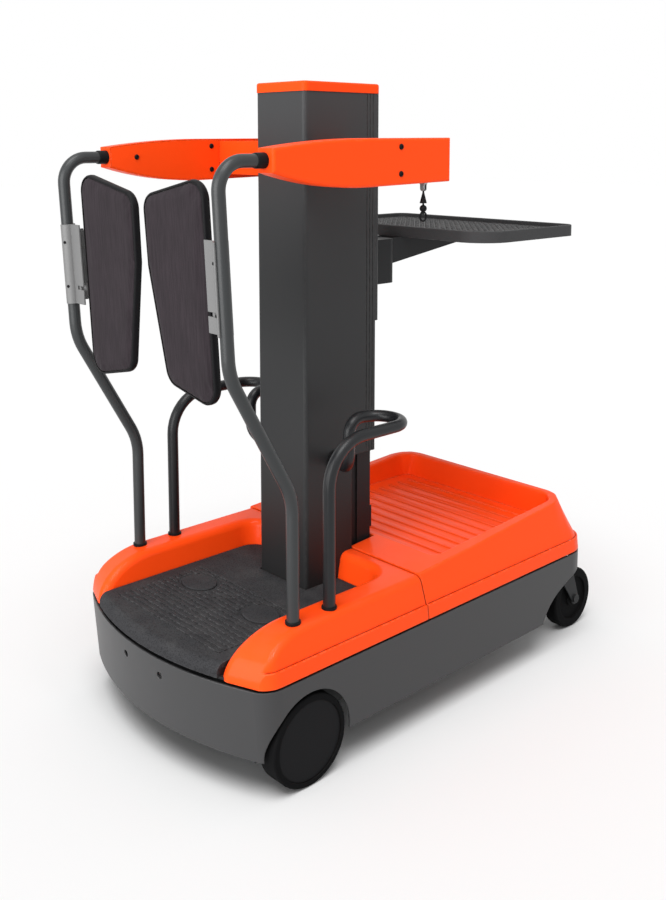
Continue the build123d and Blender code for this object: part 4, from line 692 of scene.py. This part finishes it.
def flat_pad(side):
    """The solid of a gate's pads, merged and laid out in the space of the gate."""
    drawn = merged_copy(f"{side}_gate_pad")
    bmesh.ops.transform(drawn, matrix=gate_space(side).inverted(), verts=drawn.verts)
    return drawn


print("left gate hangs at", tuple(round(c, 3) for c in gate_space("left").translation))

# %% Slim a pad and puff it
voxel = 0.005
glue_depth = 0.3 * voxel
slim = 0.76
pressure = 4.0
puff_frames = 20
puff_cap = 0.0026


def half_pad(side, way):
    """One pad of a gate, slimmed towards the plate, and how far the plate's face is off the middle."""
    half = flat_pad(side)
    bmesh.ops.delete(half, geom=[v for v in half.verts if v.co.x * way < 0], context="VERTS")
    plate_face = min(abs(v.co.x) for v in half.verts)
    for v in half.verts:
        v.co.x = way * (plate_face + slim * (abs(v.co.x) - plate_face))
    return half, plate_face


def evaluated(piece):
    """A new mesh of an object with its modifiers."""
    return bpy.data.meshes.new_from_object(piece.evaluated_get(bpy.context.evaluated_depsgraph_get()))


def puff(pad, plate_face):
    """Swells a pad with cloth pressure, with its plate side pinned and its movement capped."""
    start = [v.co.copy() for v in pad.data.vertices]
    pinned = pad.vertex_groups.new(name="glued")
    pinned.add([i for i, co in enumerate(start) if abs(co.x) < plate_face + glue_depth], 1.0, "REPLACE")
    cloth = pad.modifiers.new("cover", "CLOTH")
    cloth.settings.use_pressure = True
    cloth.settings.uniform_pressure_force = pressure
    cloth.settings.effector_weights.gravity = 0.0
    cloth.settings.vertex_group_mass = pinned.name
    cloth.point_cache.frame_start = 1
    cloth.point_cache.frame_end = puff_frames
    for step in range(1, puff_frames + 1):
        scene.frame_set(step)
    swollen = evaluated(pad)
    pad.modifiers.remove(cloth)
    for v, before in zip(pad.data.vertices, start):
        move = swollen.vertices[v.index].co - before
        if move.length > puff_cap:
            move *= puff_cap / move.length
        v.co = before + move
    scene.frame_set(1)


print("pads start at", slim, "of their room")

# %% Both pads of each gate
def gate_pads(side):
    """Makes both pads of a gate as one soft piece."""
    joined = bmesh.new()
    for way in (1, -1):
        half, plate_face = half_pad(side, way)
        mesh = bpy.data.meshes.new("pad_form")
        half.to_mesh(mesh)
        half.free()
        form = bpy.data.objects.new("pad_form", mesh)
        scene.collection.objects.link(form)
        remesh = form.modifiers.new("even_quads", "REMESH")
        remesh.mode = "VOXEL"
        remesh.voxel_size = voxel
        form.data = evaluated(form)
        form.modifiers.clear()
        puff(form, plate_face)
        round_off = form.modifiers.new("round_off", "SUBSURF")
        round_off.levels = 1
        joined.from_mesh(evaluated(form))
        bpy.data.objects.remove(form)
    bmesh.ops.transform(joined, matrix=gate_space(side), verts=joined.verts)
    pads = make_piece(f"{side}_gate_pads", joined, "pad_vinyl", f"{side}_gate", sharp=80.0)
    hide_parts(f"{side}_gate_pad")
    print(pads.name, len(pads.data.vertices), "points")


for side in ("left", "right"):
    gate_pads(side)

# %% [markdown]
# ## Edge bands of the gates
#
# A black rubber band is pressed over the rim of each gate plate, between the two pads. It could be a curve
# with a bevel, but the pad already has the outline: its flat back is found in the mesh, its border is walked
# point by point, and a rounded section is set on each point and joined to the next.

# %% Walk the border of a pad
def pad_border(side):
    """The outline of a pad where it meets the plate, as points in order in the space of the gate."""
    drawn = flat_pad(side)
    near = min(abs(v.co.x) for v in drawn.verts) + same_point
    back = [f for f in drawn.faces if all(0 < v.co.x < near for v in f.verts)]
    rim = {e for f in back for e in f.edges if sum(g in back for g in e.link_faces) == 1}
    first = min((v for e in rim for v in e.verts), key=lambda v: tuple(v.co))
    ways = [e for e in first.link_edges if e in rim]
    edge = min(ways, key=lambda e: tuple(e.other_vert(first).co))
    at = edge.other_vert(first)
    points = [first.co.copy()]
    while at is not first:
        points.append(at.co.copy())
        edge = next(e for e in at.link_edges if e in rim and e is not edge)
        at = edge.other_vert(at)
    drawn.free()
    return points


borders = {side: pad_border(side) for side in ("left", "right")}
print("border points", [len(border) for border in borders.values()])

# %% Sweep the bands
band_half = 0.0095
band_reach = 0.0062
band_bite = 0.0008
band_section = [(0.0, -1.0), (0.55, -0.95), (0.9, -0.6), (1.0, 0.0), (0.9, 0.6), (0.55, 0.95), (0.0, 1.0)]


def join_rings(drawn, rings):
    """Faces between each ring of points and the next."""
    for ring, after in zip(rings, rings[1:]):
        for i in range(len(ring)):
            j = (i + 1) % len(ring)
            drawn.faces.new((ring[i], ring[j], after[j], after[i]))


for side, border in borders.items():
    heart = sum(border, Vector()) / len(border)
    band = bmesh.new()
    rings = []
    for i, point in enumerate(border):
        along = (border[(i + 1) % len(border)] - border[i - 1]).normalized()
        outward = along.cross(Vector((1, 0, 0))).normalized()
        if outward.dot(point - heart) < 0:
            outward = -outward
        ring = []
        for reach, across in band_section:
            spot = point + outward * (reach * band_reach - band_bite)
            ring.append(band.verts.new((across * band_half, spot.y, spot.z)))
        rings.append(ring)
    join_rings(band, rings + rings[:1])
    bmesh.ops.transform(band, matrix=gate_space(side), verts=band.verts)
    edge_band = make_piece(f"{side}_gate_band", band, "black_plastic", f"{side}_gate", sharp=50.0)
    print(edge_band.name, len(edge_band.data.polygons), "faces")

# %% [markdown]
# ## Hand rails
#
# Each hand rail rises from the fender, bends back, turns round in a hairpin and drops to the side of the
# column, so that a hand finds a closed loop. A curve with a round bevel would do, but a path of straight runs
# with an arc in every corner is how a tube bender makes it: the path is walked once, and a ring of points is
# carried along it. The collars keep their places on the fender, and the wall flanges go to where the loops
# end.

# %% The tube bender
arc_steps = 10
ring_steps = 24


def circle(radius, steps):
    """Points of a circle in its own plane, in order."""
    turns = [2 * math.pi * i / steps for i in range(steps)]
    return [(radius * math.cos(a), radius * math.sin(a)) for a in turns]


def rounded_path(points, radii):
    """A path of straight runs with an arc in each inner corner."""
    path = [points[0]]
    for before, corner, after, radius in zip(points, points[1:], points[2:], radii):
        back = (before - corner).normalized()
        ahead = (after - corner).normalized()
        half = back.angle(ahead) / 2
        heart = corner + (back + ahead).normalized() * radius / math.sin(half)
        arm = corner + back * radius / math.tan(half) - heart
        axis = arm.cross(corner + ahead * radius / math.tan(half) - heart)
        for step in range(arc_steps + 1):
            path.append(heart + Matrix.Rotation((math.pi - 2 * half) * step / arc_steps, 3, axis) @ arm)
    return path + [points[-1]]


def cap_ends(drawn, rings):
    """Flat faces over the first and the last ring."""
    drawn.faces.new(list(reversed(rings[0])))
    drawn.faces.new(rings[-1])


def sweep_tube(drawn, path, radius):
    """A closed tube along a path, with its ring of points carried along without a twist."""
    across = (path[1] - path[0]).orthogonal().normalized()
    rings = []
    for i, point in enumerate(path):
        along = (path[min(i + 1, len(path) - 1)] - path[max(i - 1, 0)]).normalized()
        across = (across - along * across.dot(along)).normalized()
        other = along.cross(across)
        spots = [point + (u * across + v * other) for u, v in circle(radius, ring_steps)]
        rings.append([drawn.verts.new(spot) for spot in spots])
    join_rings(drawn, rings)
    cap_ends(drawn, rings)


print("tube bender ready,", ring_steps, "points to a ring")

# %% Bend the rails
tube_radius = 0.015
rail_level = 0.780
rail_tip_x = -0.107
rail_drop_x = -0.207
rail_drop_y = 0.200
rail_drop_z = 0.650
rail_wall = Vector((-0.160, 0.102, 0.640))
rail_bends = (0.110, 0.060, 0.060, 0.038, 0.050)

for side, way in (("left", 1), ("right", -1)):
    low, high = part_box(f"{side}_hand_rail")
    foot = Vector((low.x + tube_radius, way * (max(abs(low.y), abs(high.y)) - tube_radius), low.z))
    bend_points = [
        foot,
        Vector((foot.x, foot.y, rail_level)),
        Vector((rail_tip_x, foot.y, rail_level)),
        Vector((rail_tip_x, way * rail_drop_y, rail_level)),
        Vector((rail_drop_x, way * rail_drop_y, rail_level)),
        Vector((rail_drop_x, way * rail_drop_y, rail_drop_z)),
        Vector((rail_wall.x, way * rail_wall.y, rail_wall.z)),
    ]
    tube = bmesh.new()
    sweep_tube(tube, rounded_path(bend_points, rail_bends), tube_radius)
    rail = make_piece(f"{side}_rail_loop", tube, "tube_paint", "platform", sharp=50.0)
    rail.data.materials[0] = finishes["hand_rail_paint"]
    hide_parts(f"{side}_hand_rail")
    print(rail.name, "foot at", tuple(round(c, 3) for c in foot))

# %% Move the wall flanges
# What lies closer to the middle of the machine than this is part of a wall flange.
flange_reach = 1.05 * rail_wall.y


def halfway(values):
    """Halfway between the least and the greatest of some values."""
    return (min(values) + max(values)) / 2


collar_rings = bmesh.new()
collar_rings.from_mesh(nodes["tube_collars"].data)
flanges = [v for v in collar_rings.verts if abs(v.co.y) < flange_reach]
old_x = halfway([v.co.x for v in flanges])
old_z = halfway([v.co.z for v in flanges])
to_loop = Vector((rail_wall.x - old_x, 0, rail_wall.z - old_z))
for v in flanges:
    v.co += to_loop
collars = make_piece("rail_collars", collar_rings, "black_plastic", "platform")
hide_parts("tube_collars")
print(collars.name, "flanges moved", round(to_loop.length, 3))

# %% [markdown]
# ## Lift chains
#
# Leaf chains lift the carriage: flat plates with two round ends, laid side by side on pins. A plain strap
# would be enough for the motion, but the open mast shows them, so each link is drawn. One link is a figure of
# arcs; it is stamped along the run at the pitch of the chain, with every second row of plates one pin on.

# %% One link
plate_round = 0.0052
plate_waist = 0.0036
end_sweep = 300
end_steps = 5


def plate_outline(pitch):
    """A link plate from the side: two round ends with a waist between, as (across, along) points."""
    points = []
    for way, start in ((1, -120), (-1, 60)):
        for step in range(end_steps + 1):
            turned = math.radians(start + end_sweep * step / end_steps)
            points.append((plate_round * math.cos(turned), way * pitch / 2 + plate_round * math.sin(turned)))
        points.append((-way * plate_waist, 0.0))
    return points


def stamp(drawn, outline, place, thick):
    """A prism of an outline about a place, given by its matrix."""
    low = [drawn.verts.new(place @ Vector((x, -thick / 2, z))) for x, z in outline]
    high = [drawn.verts.new(place @ Vector((x, thick / 2, z))) for x, z in outline]
    join_rings(drawn, [high, low])
    cap_ends(drawn, [high, low])


print("a link plate has", 2 * (end_steps + 2), "corners")

# %% Runs of links
chain_pitch = 0.0127
plate_thick = 0.0016
plate_room = 1.25 * plate_thick
least_rows = 3
pin_radius = 0.0022
pin_steps = 8


def chain(drawn, places, width):
    """Links at each place of a run; a place is the matrix of a pin, with Z along the run."""
    rows = max(least_rows, int(width / plate_room))
    for i, place in enumerate(places):
        stamp(drawn, circle(pin_radius, pin_steps), place, width)
        for row in range(rows):
            if row % 2 == i % 2:
                across = (row - (rows - 1) / 2) * (width - plate_thick) / (rows - 1)
                middle = place @ Matrix.Translation((0, across, chain_pitch / 2))
                stamp(drawn, plate_outline(chain_pitch), middle, plate_thick)


def straight_run(x, y, low, high):
    """Pin places up a straight run."""
    count = int((high - low) / chain_pitch)
    step = (high - low) / count
    return [Matrix.Translation((x, y, low + step * i)) for i in range(count)]


def chain_runs(node):
    """The low and high corners of a chain node, how far each run is off the middle, and its width."""
    low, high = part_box(node)
    half = [v.co.y for v in nodes[node].data.vertices if v.co.y > 0]
    return low, high, halfway(half), max(half) - min(half)


print("chain pitch", chain_pitch)

# %% Front runs
front_low, front_high, chain_y, chain_width = chain_runs("front_lift_chains")
front_x = halfway((front_low.x, front_high.x))
front = bmesh.new()
for way in (1, -1):
    chain(front, straight_run(front_x, way * chain_y, front_low.z, front_high.z), chain_width)
front_links = make_piece("front_chain_links", front, "steel", "mid_mast_body")
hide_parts("front_lift_chains")
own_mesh(front_links)

# %% Rear runs, over the pulleys
pulley_low, pulley_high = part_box("chain_pulleys")
pulley_x = halfway((pulley_low.x, pulley_high.x))
pulley_z = halfway((pulley_low.z, pulley_high.z))
wrap_radius = pulley_x - front_x
wraps = int(math.pi * wrap_radius / chain_pitch)
rear_low, _, chain_y, chain_width = chain_runs("rear_lift_chains")
rear = bmesh.new()
for way in (1, -1):
    places = straight_run(pulley_x + wrap_radius, way * chain_y, rear_low.z, pulley_z)
    for i in range(wraps):
        bend = math.pi * i / wraps
        out = wrap_radius * math.cos(bend)
        up = wrap_radius * math.sin(bend)
        spot = (pulley_x + out, way * chain_y, pulley_z + up)
        places.append(Matrix.Translation(spot) @ Matrix.Rotation(-bend, 4, "Y"))
    chain(rear, places, chain_width)
rear_links = make_piece("rear_chain_links", rear, "steel", "mid_mast_body")
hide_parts("rear_lift_chains")
print("rear links", len(rear_links.data.vertices), "points")

# %% [markdown]
# ## Grip of the load tray
#
# The floor of the tray has a raised anti-slip pattern. A bump map would vanish in a flat view, so the pattern
# is real: rows of long low pips that stand on the tray's floor, each a small pyramid with its top cut off.

# %% Lay the grip
grip_margin = 0.022
pip_long = 0.013
pip_wide = 0.0055
pip_high = 0.0014
pip_top_long = 2 / 3 * pip_long
pip_top_wide = pip_wide / 2
pip_gap_x = 0.011
pip_gap_y = 0.020
corner_room = 0.10

tray_low, tray_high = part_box("load_tray")
tray_mid_z = halfway((tray_low.z, tray_high.z))
# The tray's floor is the lowest level in its upper half.
tray_floor = min(v.co.z for v in nodes["load_tray"].data.vertices if v.co.z > tray_mid_z)


def pip(drawn, x, y):
    """A long low pip with its top cut off."""
    low = [(x + a * pip_wide / 2, y + b * pip_long / 2, tray_floor) for a, b in square]
    top = [(x + a * pip_top_wide / 2, y + b * pip_top_long / 2, tray_floor + pip_high) for a, b in square]
    rings = [[drawn.verts.new(spot) for spot in ring] for ring in (low, top)]
    join_rings(drawn, rings)
    cap_ends(drawn, rings)


grip = bmesh.new()
rows = int((tray_high.x - tray_low.x - 2 * grip_margin) / pip_gap_x)
for row in range(rows + 1):
    x = tray_low.x + grip_margin + row * pip_gap_x
    depth = corner_room - (x - tray_low.x)
    reach = tray_high.y - grip_margin
    if depth > 0:
        reach -= corner_room - math.sqrt(corner_room**2 - depth**2)
    shift = pip_gap_y / 2 * (row % 2)
    count = int((reach - shift) / pip_gap_y)
    for i in range(-count, count + 1):
        y = i * pip_gap_y + shift
        if abs(y) + pip_long / 2 < reach:
            pip(grip, x, y)
tray_grip = make_piece("tray_grip", grip, "tray_plastic", "tray", sharp=20.0)
print("tray grip", len(tray_grip.data.polygons), "faces")

# %% [markdown]
# ## Screw heads
#
# The arms are held by button-head screws with a socket. The solids only mark their places with plain studs,
# so each stud is replaced by a turned head: a profile of rings about its axis, with the socket sunk in the
# middle. The gate brackets have no studs, so a ray finds the spot on the bracket where each screw sits.

# %% A button head
# Each ring is a share of the radius and a share of the height.
head_rings = [
    (1.0, 0.0), (1.0, 0.25), (0.92, 0.55), (0.75, 0.82),
    (0.55, 0.97), (0.46, 1.0), (0.44, 0.95), (0.42, 0.45),
]
head_steps = 18


def screw_head(drawn, seat, outward, radius, height):
    """A button head that sits on a point and looks outward."""
    place = Matrix.Translation(seat) @ outward.to_track_quat("Z", "Y").to_matrix().to_4x4()
    rings = []
    for share, rise in head_rings:
        spots = [Vector((u, v, rise * height)) for u, v in circle(share * radius, head_steps)]
        rings.append([drawn.verts.new(place @ spot) for spot in spots])
    join_rings(drawn, rings)
    cap_ends(drawn, rings)


print("a head has", len(head_rings), "rings of", head_steps, "points")

# %% Heads on the arms
# A point that is farther out than this share of the radius is on the rim of a stud's head.
rim_share = 0.9
level_tolerance = 1e-4


def islands(name):
    """The separate bodies in a solid's mesh, each as its list of points."""
    drawn = merged_copy(name)
    waiting = set(drawn.verts)
    found = []
    while waiting:
        grow = [waiting.pop()]
        group = []
        while grow:
            v = grow.pop()
            group.append(v.co.copy())
            fresh = [e.other_vert(v) for e in v.link_edges if e.other_vert(v) in waiting]
            waiting.difference_update(fresh)
            grow.extend(fresh)
        found.append(group)
    drawn.free()
    return sorted(found, key=lambda g: tuple(round(c, 4) for c in min(g, key=lambda p: tuple(p))))


heads = bmesh.new()
for group in islands("arm_bolts"):
    middle_x = halfway([p.x for p in group])
    middle_z = halfway([p.z for p in group])
    radius = max(p.x for p in group) - middle_x
    wide = [p.y for p in group if math.hypot(p.x - middle_x, p.z - middle_z) > rim_share * radius]
    thick = max(wide) - min(wide)
    way = 1 if abs(max(wide) - max(p.y for p in group)) < level_tolerance else -1
    seat = min(wide) if way > 0 else max(wide)
    screw_head(heads, Vector((middle_x, seat, middle_z)), Vector((0, way, 0)), radius, thick)
screws = make_piece("arm_screws", heads, "black_plastic", "platform", sharp=40.0)
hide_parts("arm_bolts")
print("screws", len(screws.data.polygons), "faces")

# %% Screws of the gate brackets
bracket_screw_radius = 0.0038
bracket_screw_height = 0.0022
bracket_screw_rises = (0.056, -0.056)
bracket_screw_inset = 0.010
ray_start = -0.1

heads = bmesh.new()
tube_low, tube_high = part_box("left_guard_tube")
for side, way in (("left", 1), ("right", -1)):
    space = gate_space(side)
    through = space.to_3x3().col[0]
    tube_y = way * halfway((tube_low.y, tube_high.y))
    screw_y = tube_y - way * bracket_screw_inset - space.translation.y
    for rise in bracket_screw_rises:
        start = space @ Vector((ray_start, screw_y, rise))
        hit, seat, facing, _ = nodes["gate_brackets"].ray_cast(start, through)
        if hit:
            screw_head(heads, seat, facing, bracket_screw_radius, bracket_screw_height)
bracket_screws = make_piece("bracket_screws", heads, "black_plastic", "platform", sharp=40.0)
print("bracket screws", len(bracket_screws.data.polygons), "faces")

# %% [markdown]
# ## Black bands at the mouths of the arms
#
# A short black band is turned round each guard tube at the mouth of its arm, which darkens the tube there. It
# has a softly rounded front.

# %% Turn the bands
# Each ring is a radius and a place along the tube, from the mouth of the arm.
mouth_band_profile = [
    (0.0152, -0.026), (0.0164, -0.026), (0.0170, -0.025),
    (0.0174, -0.022), (0.0174, 0.0), (0.0152, 0.0),
]

mouth_band_mesh = bmesh.new()
for side in ("left", "right"):
    tube_low, tube_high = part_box(f"{side}_guard_tube")
    arm_low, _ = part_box(f"{side}_arm")
    tube_y = halfway((tube_low.y, tube_high.y))
    tube_z = tube_high.z - tube_radius
    rings = []
    for radius, along in mouth_band_profile:
        spots = [(arm_low.x + along, tube_y + u, tube_z + v) for u, v in circle(radius, ring_steps)]
        rings.append([mouth_band_mesh.verts.new(spot) for spot in spots])
    join_rings(mouth_band_mesh, rings + rings[:1])
mouth_bands = make_piece("mouth_bands", mouth_band_mesh, "black_plastic", "platform", sharp=40.0)
print("mouth_band_mesh", len(mouth_bands.data.polygons), "faces")

# %% [markdown]
# ## The end


print("machine dressed")
